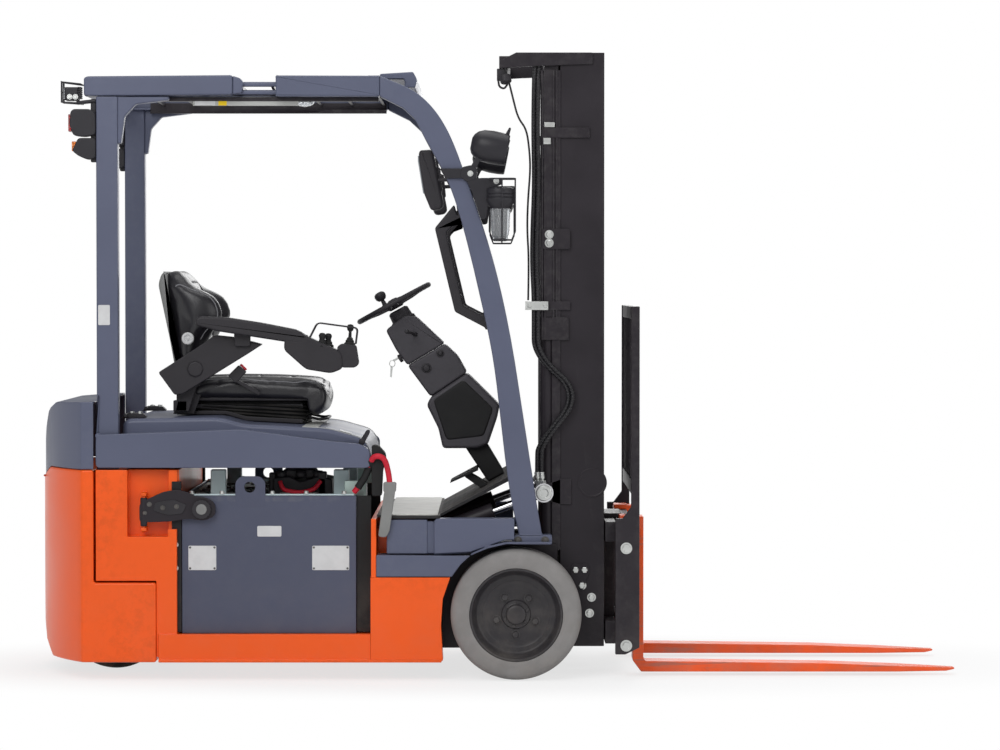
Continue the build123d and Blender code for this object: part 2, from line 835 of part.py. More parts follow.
def armrest():
    """Armrest with a raised lever console, on a bracket at the seat's right side."""
    pad = [
        (-1071, 1263),
        (-1071, 1229),
        (-760, 1160),
        (-600, 1067),
        (-585, 1110),
        (-495, 1085),
        (-495, 1160),
        (-585, 1169),
        (-600, 1215),
        (-747, 1215),
    ]
    arm = across(pad, -360, -290)
    arm += across([(-1198, 1067), (-1004, 1188), (-828, 1166), (-1097, 986), (-1145, 1000)], -300, -252)
    arm += across([(-965, 1150), (-965, 1222), (-880, 1205), (-880, 1150)], -310, -262)
    arm += across([(-1160, 925), (-1100, 925), (-1060, 1060), (-1120, 1085)], -258, -247)
    arm += block(-1155, -1105, -258, -215 - SEAT, 925, 965)
    for x, z in ((-640, 1214), (-610, 1214), (-530, 1158)):
        arm += block(x - 4, x + 4, -329, -321, z - 10, z + 24)
        arm += block(x - 9, x + 9, -335, -315, z + 22, z + 44)
    return arm


# Mast


def channel(inner, outer, web0, web1, low, high):
    """One upright: two flanges from inner to outer, and a web between web0 and web1."""
    rail = block(MAST_BACK, MAST_BACK + FLANGE, inner, outer, low, high)
    rail += block(MAST_FRONT - FLANGE, MAST_FRONT, inner, outer, low, high)
    return rail + block(MAST_BACK, MAST_FRONT, web0, web1, low, high)


def roller(y0, y1, z):
    return pin((MAST_BACK + MAST_FRONT) / 2, z, y0, y1, ROLLER_R)


def outer_rail():
    """Outer upright with its pivot eye, tilt-cylinder bracket, top horn and lift-cylinder straps."""
    half, top = MAST_HALF, MAST_TOP
    px, pz = TILT_PIVOT
    ex, ez = TILT_EYE
    rail = channel(OUTER_IN, half, half - 12, half, MAST_LOW, top)
    eye = [
        (MAST_BACK + 2, pz - 40),
        (px + 15, pz - 32),
        (px - 22, pz - 24),
        (px - 28, pz),
        (px - 22, pz + 24),
        (px + 15, pz + 34),
        (MAST_BACK + 2, pz + 45),
    ]
    rail += across(eye, half - 38, half - 16) - pin(px, pz, half - 45, half, TILT_PIN_R + RUN)
    bracket = [
        (MAST_BACK + 40, ez - 43),
        (MAST_BACK + 40, ez + 47),
        (MAST_BACK, ez + 47),
        (ex, ez + 25),
        (ex - 27, ez),
        (ex, ez - 25),
        (MAST_BACK, ez - 43),
    ]
    rail += across(bracket, half, half + 6) + pin(ex, ez, half + 1, half + 51, TILT_PIN_R)
    horn = [(0, top - 55), (0, top - 30), (60, top), (328, top), (328, top - 40), (80, top - 50)]
    rail += across(horn, half + 1, half + 11)
    rail += block(MAST_BACK, 328, half - 1, half + 11, top - 40, top)
    for z in (700, 1180, 1620):
        rail += block(LIFT_X + LIFT_BARREL_R + 5, MAST_BACK + 1, half - 25, half, z, z + 50)
    rail += block(128, MAST_BACK + 1, half + 1, half + 11, 1180, 1260)
    rail += block(MAST_BACK, MAST_BACK + 30, half - 5, half + 11, 1180, 1260)
    return rail + block(150, MAST_BACK + 1, half - 29, half - 16, MAST_LOW, MAST_LOW + 29)


def outer_crossbars():
    half = MAST_HALF + 1
    bars = block(0, 40, -half, half, MAST_TOP - 55, MAST_TOP - 12)
    bars += block(128, 144, -half, half, 1180, 1260)
    return bars + block(150, 166, 29 - MAST_HALF, MAST_HALF - 29, MAST_LOW, MAST_LOW + 29)


def lift_barrel():
    """One lift cylinder on its foot behind the outer upright."""
    barrel = drum(LIFT_X, LIFT_Y, 232, 1700, LIFT_BARREL_R)
    barrel -= drum(LIFT_X, LIFT_Y, 244, 1800, LIFT_ROD_R + RUN)
    return barrel + block(160, MAST_BACK - SEAT, OUTER_IN + 14, MAST_HALF - 18, 226, 234)


def mast_hose(x, y):
    path = [(x, y, 2080), (x, y, 1120), (x + 140, y, 985), (x + 12, y, 800), (x + 12, y, 700)]
    return hose(path, 16, 60)


def mast_hoses():
    clamp = block(114, MAST_BACK + 5, -MAST_HALF - 16, -MAST_HALF - SEAT, 1262, 1292)
    return mast_hose(122, -MAST_HALF - 20) + mast_hose(137, -MAST_HALF - 27) + clamp


def middle_rail():
    top = MAST_TOP - 6
    rail = channel(MIDDLE_IN, MIDDLE_OUT, 252, 260, MAST_LOW + 6, top)
    rail += roller(OUTER_IN + 4, OUTER_IN + 34, 170) + pin(292.5, 170, MIDDLE_IN + 28, OUTER_IN + 8, 18)
    return rail + block(209, MAST_BACK + 4, MIDDLE_IN, MIDDLE_OUT, top - 60, top - 4)


def middle_crossbars():
    """Top yoke on the lift rods, and the bottom tie with a foot at the back of each upright."""
    top = MAST_TOP - 6
    yoke = block(160, 209, -LIFT_Y - 21, LIFT_Y + 21, top - 60, top - 4)
    feet = both(block(187, MAST_BACK - SEAT, MIDDLE_IN + 7, FOOT_HALF, 105, 160))
    return yoke + feet + block(174, 188, -FOOT_HALF, FOOT_HALF, 105, 160)


def lift_rod():
    return drum(LIFT_X, LIFT_Y, 250, MAST_TOP - 66, LIFT_ROD_R)


def stage_chain():
    """Lift chain over its wheel at the top of the middle stage."""
    top = MAST_TOP - 115
    wheel = pin(187, top, 108, 132, 28) + block(180, 194, 100, 140, top - 15, MAST_TOP - 66)
    chain = block(213, 221, 110, 130, 170, top) + block(152, 160, 110, 130, 1300, top)
    outside = [(152, top - 5), (152, top + 10), (170, top + 31), (204, top + 31), (221, top + 10)]
    inside = [(160, top - 6), (160, top + 6), (174, top + 23), (200, top + 23), (213, top + 6)]
    outside.append((221, top - 5))
    inside.append((213, top - 6))
    return chain + across(outside, 110, 130) - across(inside, 100, 140) + wheel


def inner_rail():
    rail = channel(INNER_IN, INNER_OUT, INNER_OUT - 12, INNER_OUT, MAST_LOW + 12, MAST_TOP - 12)
    rail += roller(MIDDLE_IN + 3, MIDDLE_IN + 25, 176) + pin(292.5, 176, INNER_OUT - 6, MIDDLE_IN + 4, 18)
    return rail + block(206, MAST_BACK + 1, INNER_OUT - 26, INNER_OUT, 111, 165)


def inner_crossbars():
    """Top and bottom ties of the inner stage, with the foot that carries the free-lift cylinder."""
    top = MAST_TOP - 14
    web = INNER_OUT - 12
    bars = block(240, 345, -web, web, top - 56, top) + block(192, 206, -web - 8, web + 8, 111, 165)
    return bars + block(200, 345, -60, 60, 111, 128)


def free_lift_barrel():
    barrel = drum(FREE_LIFT_X, 0, 128, 1250, FREE_LIFT_R)
    barrel += drum(FREE_LIFT_X, 0, 1230, 1270, FREE_LIFT_R + 5)
    return barrel - drum(FREE_LIFT_X, 0, 150, 1400, FREE_ROD_R + RUN)


def free_lift_head():
    """Free-lift rod with its crosshead, two chain wheels and the chains down to the carriage."""
    x = FREE_LIFT_X
    head = drum(x, 0, 160, 1300, FREE_ROD_R) + block(x - 22, x + 22, -110, 110, 1300, 1330)
    for y in (-80, 80):
        head += pin(x, 1360, y - 14, y + 14, 42) + block(x - 8, x + 8, y - 22, y + 22, 1325, 1362)
        head += block(x + 41, x + 49, y - 11, y + 11, 560, 1362)
    return head


def carriage():
    """Carriage plate with its four rollers in the inner uprights and the lugs for the chains."""
    side = block(245, CARRIAGE_BACK + 1, INNER_IN - 32, INNER_IN - 12, 100, CARRIAGE_TOP)
    for z in (160, 480):
        side += roller(INNER_IN - 13, INNER_OUT - 20, z)
    side += block(352, CARRIAGE_BACK + 1, 66, 94, UPPER_BAR - 30, 552)
    low, high = LOWER_BAR + SEAT, UPPER_BAR - SEAT
    return both(side) + block(CARRIAGE_BACK, CARRIAGE_FRONT, 6 - INNER_IN, INNER_IN - 6, low, high)


def carriage_bars():
    """The upper and lower bars that carry the side shifter."""
    back = CARRIAGE_BACK + 1 + SEAT
    bars = block(back, CARRIAGE_FRONT, -CARRIAGE_END, CARRIAGE_END, UPPER_BAR, CARRIAGE_TOP)
    return bars + block(back, CARRIAGE_FRONT, -CARRIAGE_END, CARRIAGE_END, 110, LOWER_BAR)


# Side shifter, backrest and forks


def shift_frame():
    body = block(BAR_BACK, BAR_FRONT, -BAR_END, BAR_END, 470, BAR_TOP)
    body += block(BAR_BACK, BAR_FRONT, -BAR_END, BAR_END, 150, 210)
    for y in (-120, 90):
        body += block(BAR_BACK, BAR_FRONT, y, y + 30, 200, 480)
    back = CARRIAGE_FRONT + GLIDE
    body += block(back, BAR_BACK + 1, -125, 125, 160, 200)
    body += block(back, BAR_BACK + 1, -125, 125, 475, BAR_TOP + 11)
    return body + block(CARRIAGE_BACK + 4, back + 1, -125, 125, CARRIAGE_TOP + GLIDE, BAR_TOP + 11)


def load_backrest():
    bracket = [
        (405, 560),
        (405, 86),
        (440, 86),
        (489, 110),
        (489, 1299),
        (460, 1299),
        (460, 600),
        (430, 560),
    ]
    inner = BAR_END + SEAT
    body = both(across(bracket, inner, inner + 29))
    body += block(463, 489, -inner - 4, inner + 4, 1255, 1299)
    body += block(463, 489, -inner - 4, inner + 4, 640, 690)
    for step in range(-4, 5):
        body += block(466, 486, 95 * step - 6, 95 * step + 6, 685, 1260)
    return body


def fork():
    """Fork with a tapered blade, its heel and the two hooks that hold it on the bars."""
    low, inner, outer = FORK_LOW, FORK_Y - FORK_W / 2, FORK_Y + FORK_W / 2
    back = FORK_BACK
    profile = [
        (back, 560),
        (FORK_FACE, 560),
        (FORK_FACE, low + FORK_THICK, 12),
        (1150, low + 30),
        (FORK_TIP, low + 12),
        (FORK_TIP, low + 6),
        (FORK_TIP - 30, low),
        (back + 30, low),
        (back, low + 40),
    ]
    plan = [
        (400, outer),
        (400, inner),
        (1400, inner),
        (FORK_TIP, FORK_Y - 20),
        (FORK_TIP, FORK_Y + 20),
        (1400, outer),
    ]
    blade = across(profile, inner, outer) & upward(plan, 0, 600)
    hook = [
        (back + 1, BAR_TOP + GLIDE),
        (back + 1, BAR_TOP + 18),
        (424, BAR_TOP + 18),
        (424, 525),
        (BAR_BACK - GLIDE, 525),
        (BAR_BACK - GLIDE, BAR_TOP + GLIDE),
    ]
    foot = [(back + 1, 120), (back + 1, 150 - GLIDE), (446, 150 - GLIDE), (446, 120)]
    return blade + across(hook, inner, outer) + across(foot, inner, outer)


# Tilt cylinders


def tilt_line():
    start = Vector(TILT_BASE[0], TILT_Y, TILT_BASE[1])
    end = Vector(TILT_EYE[0], TILT_Y, TILT_EYE[1])
    return start, end, (end - start).normalized()


def tilt_barrel():
    start, end, way = tilt_line()
    body = rod(tuple(start + way * 46), tuple(start + way * 300), TILT_BARREL_R)
    body += rod(tuple(start + way * 10), tuple(start + way * 60), 15)
    body += pin(*TILT_BASE, TILT_Y - 16, TILT_Y + 16, 36)
    body -= pin(*TILT_BASE, TILT_Y - 40, TILT_Y + 40, TILT_PIN_R + RUN)
    return body - rod(tuple(start + way * 60), tuple(start + way * 400), TILT_ROD_R + RUN)


def tilt_rod():
    start, end, way = tilt_line()
    body = rod(tuple(start + way * 120), tuple(end - way * 26), TILT_ROD_R)
    body += pin(*TILT_EYE, TILT_Y - 13, TILT_Y + 17, 34)
    return body - pin(*TILT_EYE, TILT_Y - 40, TILT_Y + 40, TILT_PIN_R + 2)


def save_pair(name, shape):
    """The driver's left piece and its mirror image on the right."""
    save(f"{name}_left", shape)
    save(f"{name}_right", flip(shape))


def write_wheels():
    save_pair("tyre", front_tyre())
    save_pair("rim", front_rim())
    save("rear_tyres", both(twin_tyre()))
    save("rear_rims", both(twin_rim()))
    save("steer_knuckle", steer_knuckle())


def write_chassis():
    save("frame", frame())
    save("front_frame", front_frame())
    save("counterweight", counterweight())
    save("rear_cover", rear_cover())
    save("cowl_sides", both(cowl_side()))
    save("floor_plates", floor_plates())
    save("drive_axle", drive_axle())
    save("mast_bearings", both(mast_bearing()))
    save("front_pillars", both(front_pillar()))
    save("rear_pillars", both(rear_pillar()))
    save("guard_roof", guard_roof())
    save("grab_handles", both(grab_handle()))
    save("mirrors", both(mirror_glass()))
    save("front_lamps", both(front_lamp()) + both(signal_lamp()))
    save("rear_lamps", both(rear_lamp()))


def write_driver_place():
    save("steering_column", steering_column())
    save("steering_wheel", steering_wheel())
    save("pedals", pedal(-170, 34) + pedal(-60, 44))
    save("battery_case", battery_case())
    save("battery_plug", battery_plug())
    save("battery_gate", battery_gate())
    save("hood", hood())
    save("seat_frame", seat_frame())
    save("seat_cushion", seat_cushion())
    save("seat_backrest", seat_backrest())
    save("armrest", armrest())


def write_mast():
    save("outer_rails", both(outer_rail()))
    save("outer_crossbars", outer_crossbars())
    save("lift_barrels", both(lift_barrel()))
    save("mast_hoses", mast_hoses())
    save("middle_rails", both(middle_rail()))
    save("middle_crossbars", middle_crossbars())
    save("lift_rods", both(lift_rod()))
    save("stage_chains", both(stage_chain()))
    save("inner_rails", both(inner_rail()))
    save("inner_crossbars", inner_crossbars())
    save("free_lift_barrel", free_lift_barrel())
    save("free_lift_head", free_lift_head())
    save("carriage", carriage())
    save("carriage_bars", carriage_bars())
    save("shift_frame", shift_frame())
    save("load_backrest", load_backrest())
    save_pair("tilt_barrel", tilt_barrel())
    save_pair("tilt_rod", tilt_rod())
    save_pair("fork", fork())


write_wheels()
write_chassis()
write_driver_place()
write_mast()
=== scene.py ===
"""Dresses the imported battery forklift: finishes, wheels, seat, controls, hoses, chains and fittings.

Sizes are in millimetres of the part's drawing and become metres in place(). The left side is +Y.
"""

import json
import math

import bmesh
import bpy
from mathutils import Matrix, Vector
from mathutils.bvhtree import BVHTree
from mathutils.kdtree import KDTree

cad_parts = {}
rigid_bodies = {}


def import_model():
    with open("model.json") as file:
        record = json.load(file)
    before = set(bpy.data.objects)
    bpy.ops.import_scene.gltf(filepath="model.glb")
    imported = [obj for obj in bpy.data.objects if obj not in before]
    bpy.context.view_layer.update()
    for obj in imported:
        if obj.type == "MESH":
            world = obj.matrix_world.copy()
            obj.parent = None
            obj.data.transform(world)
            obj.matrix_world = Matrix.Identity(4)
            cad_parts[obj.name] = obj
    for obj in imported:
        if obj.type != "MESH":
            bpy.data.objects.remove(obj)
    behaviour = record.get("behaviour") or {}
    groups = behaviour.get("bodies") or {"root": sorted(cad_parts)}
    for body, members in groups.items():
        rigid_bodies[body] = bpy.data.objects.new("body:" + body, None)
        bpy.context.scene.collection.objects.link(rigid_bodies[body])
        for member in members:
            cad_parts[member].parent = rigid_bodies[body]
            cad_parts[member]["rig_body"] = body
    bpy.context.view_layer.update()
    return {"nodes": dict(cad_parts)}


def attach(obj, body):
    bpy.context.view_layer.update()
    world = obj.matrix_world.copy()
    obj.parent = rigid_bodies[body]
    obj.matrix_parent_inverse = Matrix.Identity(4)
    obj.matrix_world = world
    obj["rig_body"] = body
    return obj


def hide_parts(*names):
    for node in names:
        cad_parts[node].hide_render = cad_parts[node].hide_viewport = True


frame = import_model()

MM = 0.001
SHIFT = 15.0  # the frame's zero lies this far behind the drawing's
SIDES = ((1, "left"), (-1, "right"))
SCENE = bpy.context.scene

# Sizes of the truck that several pieces share
FRONT_AXLE = (59, 0, 228)
REAR_AXLE = (-1374, 0, 188)
RAIL_SIDE = 325
BATTERY_BACK, BATTERY_FRONT, BATTERY_HALF = -1105, -498, 480
TRAY_TOP, CELL_TOP = 641, 634
WHEEL_HUB, WHEEL_TILT, WHEEL_REACH = (-380, 0, 1308), math.radians(28.5), 141
CHAIN_PITCH, CHAIN_PLATE = 0.0159, 0.010


def place(x, y, z):
    """A point of the drawing as metres in the frame."""
    return Vector(((x + SHIFT) * MM, y * MM, z * MM))


def colour(red, green, blue):
    """A display colour from 0 to 255 as linear values."""
    def linear(v):
        v = v / 255
        return v / 12.92 if v <= 0.04045 else ((v + 0.055) / 1.055) ** 2.4
    return (linear(red), linear(green), linear(blue), 1.0)


# Shader groups


def new_group(name, inputs, outputs, kind="ShaderNodeTree"):
    """An empty node group with its named sockets, and its input and output nodes."""
    tree = bpy.data.node_groups.new(name, kind)
    for label, socket, value in inputs:
        made = tree.interface.new_socket(name=label, in_out="INPUT", socket_type=socket)
        if value is not None:
            made.default_value = value
    for label, socket in outputs:
        tree.interface.new_socket(name=label, in_out="OUTPUT", socket_type=socket)
    return tree, tree.nodes.new("NodeGroupInput"), tree.nodes.new("NodeGroupOutput")


def add(tree, kind, settings=None, **inputs):
    """A node with its settings and inputs, where an input may be a value or another node's socket."""
    made = tree.nodes.new(kind)
    for key, value in (settings or {}).items():
        setattr(made, key, value)
    for key, value in inputs.items():
        socket = made.inputs[int(key[1:])] if key[0] == "_" else made.inputs[key.replace("_", " ")]
        if isinstance(value, bpy.types.NodeSocket):
            tree.links.new(value, socket)
        else:
            socket.default_value = value
    return made


def ramp(tree, value, low, high):
    """A smooth 0 to 1 step of value between low and high."""
    made = add(tree, "ShaderNodeMapRange", {"interpolation_type": "SMOOTHSTEP"}, Value=value)
    made.inputs["From Min"].default_value = low
    made.inputs["From Max"].default_value = high
    return made.outputs["Result"]


def arithmetic(tree, operation, first, second=0.0):
    """The result of a Math node."""
    return add(tree, "ShaderNodeMath", {"operation": operation}, _0=first, _1=second).outputs[0]


def noise(tree, vector, scale, detail=3.0, rough=0.55):
    """The value of a Noise Texture node."""
    made = add(tree, "ShaderNodeTexNoise", Scale=scale, Detail=detail, Roughness=rough)
    tree.links.new(vector, made.inputs["Vector"])
    return made.outputs["Fac"]


def surface_grain():
    """Fine grain for height, and a broad cloudy tone for colour and gloss."""
    tree, given, made = new_group(
        "surface_grain",
        [("Grain", "NodeSocketFloat", 600.0), ("Cloud", "NodeSocketFloat", 6.0)],
        [("Height", "NodeSocketFloat"), ("Tone", "NodeSocketFloat")],
    )
    spot = add(tree, "ShaderNodeTexCoord").outputs["Object"]
    tree.links.new(noise(tree, spot, given.outputs["Grain"]), made.inputs["Height"])
    tree.links.new(ramp(tree, noise(tree, spot, given.outputs["Cloud"], 5.0), 0.3, 0.7), made.inputs["Tone"])
    return tree


def handling_wear():
    """Where corners and edges have lost their finish."""
    tree, given, made = new_group(
        "handling_wear",
        [("Amount", "NodeSocketFloat", 0.3), ("Size", "NodeSocketFloat", 30.0)],
        [("Mask", "NodeSocketFloat")],
    )
    spot = add(tree, "ShaderNodeTexCoord").outputs["Object"]
    edge = ramp(tree, add(tree, "ShaderNodeNewGeometry").outputs["Pointiness"], 0.53, 0.62)
    chips = ramp(tree, noise(tree, spot, given.outputs["Size"], 6.0, 0.7), 0.42, 0.66)
    worn = arithmetic(tree, "MULTIPLY", edge, chips)
    tree.links.new(arithmetic(tree, "MULTIPLY", worn, given.outputs["Amount"]), made.inputs["Mask"])
    return tree


def floor_dust():
    """Dust thrown up from the floor, thickest low down and on faces that look up."""
    tree, given, made = new_group(
        "floor_dust",
        [("Amount", "NodeSocketFloat", 0.3), ("Reach", "NodeSocketFloat", 0.5)],
        [("Mask", "NodeSocketFloat")],
    )
    spot = add(tree, "ShaderNodeTexCoord").outputs["Object"]
    height = add(tree, "ShaderNodeSeparateXYZ", Vector=spot).outputs["Z"]
    low = arithmetic(tree, "DIVIDE", height, given.outputs["Reach"])
    low = ramp(tree, arithmetic(tree, "SUBTRACT", 1.0, low), 0.0, 1.0)
    normal = add(tree, "ShaderNodeNewGeometry").outputs["Normal"]
    facing = add(tree, "ShaderNodeSeparateXYZ", Vector=normal).outputs["Z"]
    up = arithmetic(tree, "MULTIPLY", ramp(tree, facing, 0.4, 1.0), 0.45)
    cloud = ramp(tree, noise(tree, spot, 9.0, 6.0, 0.65), 0.35, 0.72)
    both = arithmetic(tree, "MULTIPLY", arithmetic(tree, "MAXIMUM", low, up), cloud)
    tree.links.new(arithmetic(tree, "MULTIPLY", both, given.outputs["Amount"]), made.inputs["Mask"])
    return tree


def scrape_lines():
    """Long scrapes along X, as pallets leave on forks and side plates."""
    tree, given, made = new_group(
        "scrape_lines",
        [("Amount", "NodeSocketFloat", 0.5), ("Size", "NodeSocketFloat", 40.0)],
        [("Mask", "NodeSocketFloat")],
    )
    spot = add(tree, "ShaderNodeTexCoord").outputs["Object"]
    drawn = add(tree, "ShaderNodeMapping", Vector=spot, Scale=(0.06, 1.0, 1.0)).outputs["Vector"]
    lines = ramp(tree, noise(tree, drawn, given.outputs["Size"], 4.0, 0.6), 0.56, 0.66)
    patch = ramp(tree, noise(tree, spot, 5.0, 3.0), 0.42, 0.62)
    both = arithmetic(tree, "MULTIPLY", lines, patch)
    tree.links.new(arithmetic(tree, "MULTIPLY", both, given.outputs["Amount"]), made.inputs["Mask"])
    return tree


GRAIN, WEAR, DUST, SCRAPE = surface_grain(), handling_wear(), floor_dust(), scrape_lines()


def use(tree, group, **inputs):
    """A group node with its constant inputs."""
    made = tree.nodes.new("ShaderNodeGroup")
    made.node_tree = group
    for key, value in inputs.items():
        made.inputs[key].default_value = value
    return made


def blend(tree, share, first, second):
    """Colour first changing to second where share is 1."""
    made = add(tree, "ShaderNodeMix", {"data_type": "RGBA"})
    for value, socket in ((share, made.inputs[0]), (first, made.inputs[6]), (second, made.inputs[7])):
        if isinstance(value, bpy.types.NodeSocket):
            tree.links.new(value, socket)
        else:
            socket.default_value = value
    return made.outputs[2]


def shade(rgba, factor):
    """A colour made darker or lighter."""
    return tuple(min(1.0, v * factor) for v in rgba[:3]) + (1.0,)


def finish(name, rgba, rough, grain=600.0, depth=0.03, cloud=6.0, tone=0.12, wear=0.0, bare=None, metal=0.0,
           dust=0.0, scrape=0.0, coat=0.0, sheen=0.0, gloss_level=0.3, relief=None):
    """A painted, moulded or bare surface with its own grain, tone, wear and dust."""
    material = bpy.data.materials.new(name)
    material.use_nodes = True
    tree = material.node_tree
    shader = tree.nodes["Principled BSDF"]
    shader.inputs["Coat Weight"].default_value = coat
    shader.inputs["Coat Roughness"].default_value = 0.12
    shader.inputs["Sheen Weight"].default_value = sheen
    shader.inputs["Specular IOR Level"].default_value = gloss_level
    grained = use(tree, GRAIN, Grain=grain, Cloud=cloud)
    base = blend(tree, grained.outputs["Tone"], shade(rgba, 1 - tone), shade(rgba, 1 + tone))
    gloss = add(tree, "ShaderNodeMapRange", Value=grained.outputs["Tone"])
    gloss.inputs["To Min"].default_value = rough * 0.88
    gloss.inputs["To Max"].default_value = min(1.0, rough * 1.14)
    roughness = gloss.outputs["Result"]
    metallic = metal
    masks = []
    if wear:
        masks.append(use(tree, WEAR, Amount=wear).outputs["Mask"])
    if scrape:
        masks.append(use(tree, SCRAPE, Amount=scrape).outputs["Mask"])
    for mask in masks:
        base = blend(tree, mask, base, colour(*(bare or (120, 118, 116))))
        metallic = arithmetic(tree, "MAXIMUM", mask, metallic)
    if dust:
        mask = use(tree, DUST, Amount=dust).outputs["Mask"]
        base = blend(tree, mask, base, colour(150, 142, 132))
        roughness = arithmetic(tree, "MAXIMUM", roughness, mask)
    tree.links.new(base, shader.inputs["Base Color"])
    tree.links.new(roughness, shader.inputs["Roughness"])
    if isinstance(metallic, float):
        shader.inputs["Metallic"].default_value = metallic
    else:
        tree.links.new(metallic, shader.inputs["Metallic"])
    height = relief(tree, grained.outputs["Height"]) if relief else grained.outputs["Height"]
    bump = add(tree, "ShaderNodeBump", Height=height, Strength=0.6)
    bump.inputs["Distance"].default_value = depth * MM
    tree.links.new(bump.outputs["Normal"], shader.inputs["Normal"])
    return material


def vinyl_relief(tree, height):
    """Leather-like pebbles added to the grain."""
    spot = add(tree, "ShaderNodeTexCoord").outputs["Object"]
    cells = add(tree, "ShaderNodeTexVoronoi", {"feature": "SMOOTH_F1"}, Scale=420.0)
    tree.links.new(spot, cells.inputs["Vector"])
    return arithmetic(tree, "ADD", height, cells.outputs["Distance"])


def stud_relief(tree, height):
    """Raised studs of a floor mat."""
    spot = add(tree, "ShaderNodeTexCoord").outputs["Object"]
    cells = add(tree, "ShaderNodeTexVoronoi", {"feature": "F1"}, Scale=55.0, Randomness=0.0)
    tree.links.new(spot, cells.inputs["Vector"])
    stud = ramp(tree, arithmetic(tree, "SUBTRACT", 0.5, cells.outputs["Distance"]), 0.1, 0.25)
    return arithmetic(tree, "ADD", arithmetic(tree, "MULTIPLY", stud, 20.0), height)


def braid_relief(tree, height):
    """The wrapped weave of a hydraulic hose."""
    spot = add(tree, "ShaderNodeTexCoord").outputs["Object"]
    weave = add(tree, "ShaderNodeTexWave", {"bands_direction": "Z"}, Scale=30.0, Distortion=0.8)
    tree.links.new(spot, weave.inputs["Vector"])
    return arithmetic(tree, "ADD", height, weave.outputs["Fac"])


def lens(name, rgba, rough=0.08):
    """Clear or tinted moulded lens with fluted ribs."""
    material = bpy.data.materials.new(name)
    material.use_nodes = True
    tree = material.node_tree
    shader = tree.nodes["Principled BSDF"]
    shader.inputs["Transmission Weight"].default_value = 0.75
    shader.inputs["IOR"].default_value = 1.49
    spot = add(tree, "ShaderNodeTexCoord").outputs["Object"]
    ribs = add(tree, "ShaderNodeTexWave", {"bands_direction": "Z"}, Scale=60.0)
    tree.links.new(spot, ribs.inputs["Vector"])
    tint = blend(tree, ribs.outputs["Fac"], rgba, shade(rgba, 0.85))
    bump = add(tree, "ShaderNodeBump", Height=ribs.outputs["Fac"], Strength=0.5)
    bump.inputs["Distance"].default_value = 0.6 * MM
    tree.links.new(tint, shader.inputs["Base Color"])
    tree.links.new(bump.outputs["Normal"], shader.inputs["Normal"])
    shader.inputs["Roughness"].default_value = rough
    return material


FINISHES = {}


def paint(name, rgb, *numbers, slot=None, **extra):
    """Adds a finish, and the record's slot that it belongs to."""
    FINISHES[name] = (finish(name, colour(*rgb), *numbers, **extra), slot or name)


paint("body_orange", (243, 92, 20), 0.34, 260, 0.05, 3, 0.025, wear=0.4, dust=0.05, coat=0.08,
      bare=(120, 60, 35))
paint("fork_orange", (236, 88, 34), 0.42, 300, 0.08, 7, 0.07, wear=0.9, dust=0.2, scrape=0.55,
      bare=(125, 112, 105))
paint("panel_grey", (88, 93, 114), 0.4, 320, 0.05, 3, 0.04, wear=0.3, dust=0.08, coat=0.06,
      bare=(120, 124, 134))
paint("battery_grey", (76, 80, 99), 0.46, 240, 0.08, 3, 0.04, wear=0.5, dust=0.08, coat=0.04,
      bare=(110, 112, 120))
paint("mast_black", (42, 38, 43), 0.4, 420, 0.06, 5, 0.1, wear=0.45, dust=0.06, gloss_level=0.22,
      bare=(96, 94, 94))
paint("cast_black", (38, 38, 41), 0.62, 180, 0.35, 9, 0.2, wear=0.4, dust=0.5)
paint("tyre_grey", (134, 132, 131), 0.82, 240, 0.15, 14, 0.09, dust=0.25)
paint("tyre_black", (50, 49, 50), 0.85, 240, 0.15, 14, 0.15, dust=0.6)
paint("rim_dark", (49, 47, 50), 0.42, 300, 0.08, 8, 0.12, wear=0.5, dust=0.2, bare=(100, 98, 98))
paint("plastic_black", (44, 42, 46), 0.5, 1300, 0.12, 8, 0.1, wear=0.2, bare=(70, 70, 74))
paint("column_grey", (66, 64, 69), 0.5, 1300, 0.1, 8, 0.08, wear=0.15, bare=(84, 84, 88),
      slot="plastic_black")
paint("rubber_black", (30, 30, 31), 0.72, 900, 0.15, 10, 0.15, dust=0.2)
paint("floor_mat", (44, 43, 45), 0.75, 700, 0.12, 10, 0.15, dust=0.5, relief=stud_relief, slot="rubber_black")
paint("seat_black", (26, 25, 30), 0.32, 900, 0.22, 7, 0.12, gloss_level=0.5, relief=vinyl_relief)
paint("welt_grey", (120, 120, 124), 0.5, 1500, 0.1, 12, 0.1, slot="seat_black")
paint("steel_bright", (205, 205, 208), 0.16, 900, 0.01, 9, 0.05, metal=1.0)
paint("steel_plain", (96, 94, 92), 0.42, 700, 0.05, 16, 0.2, metal=0.9)
paint("zinc", (206, 208, 206), 0.32, 800, 0.04, 20, 0.1, metal=0.85, slot="steel_plain")
paint("hose_rubber", (36, 35, 38), 0.26, 900, 2.2, 12, 0.15, relief=braid_relief, slot="rubber_black")
# Pale grey: the plain colour of the roof strip, and a painted highlight where it stands for the lit top of
# the hood's front
paint("pale_grey_and_painted_highlight", (176, 177, 174), 0.45, 500, 0.06, 6, 0.05, slot="panel_grey")
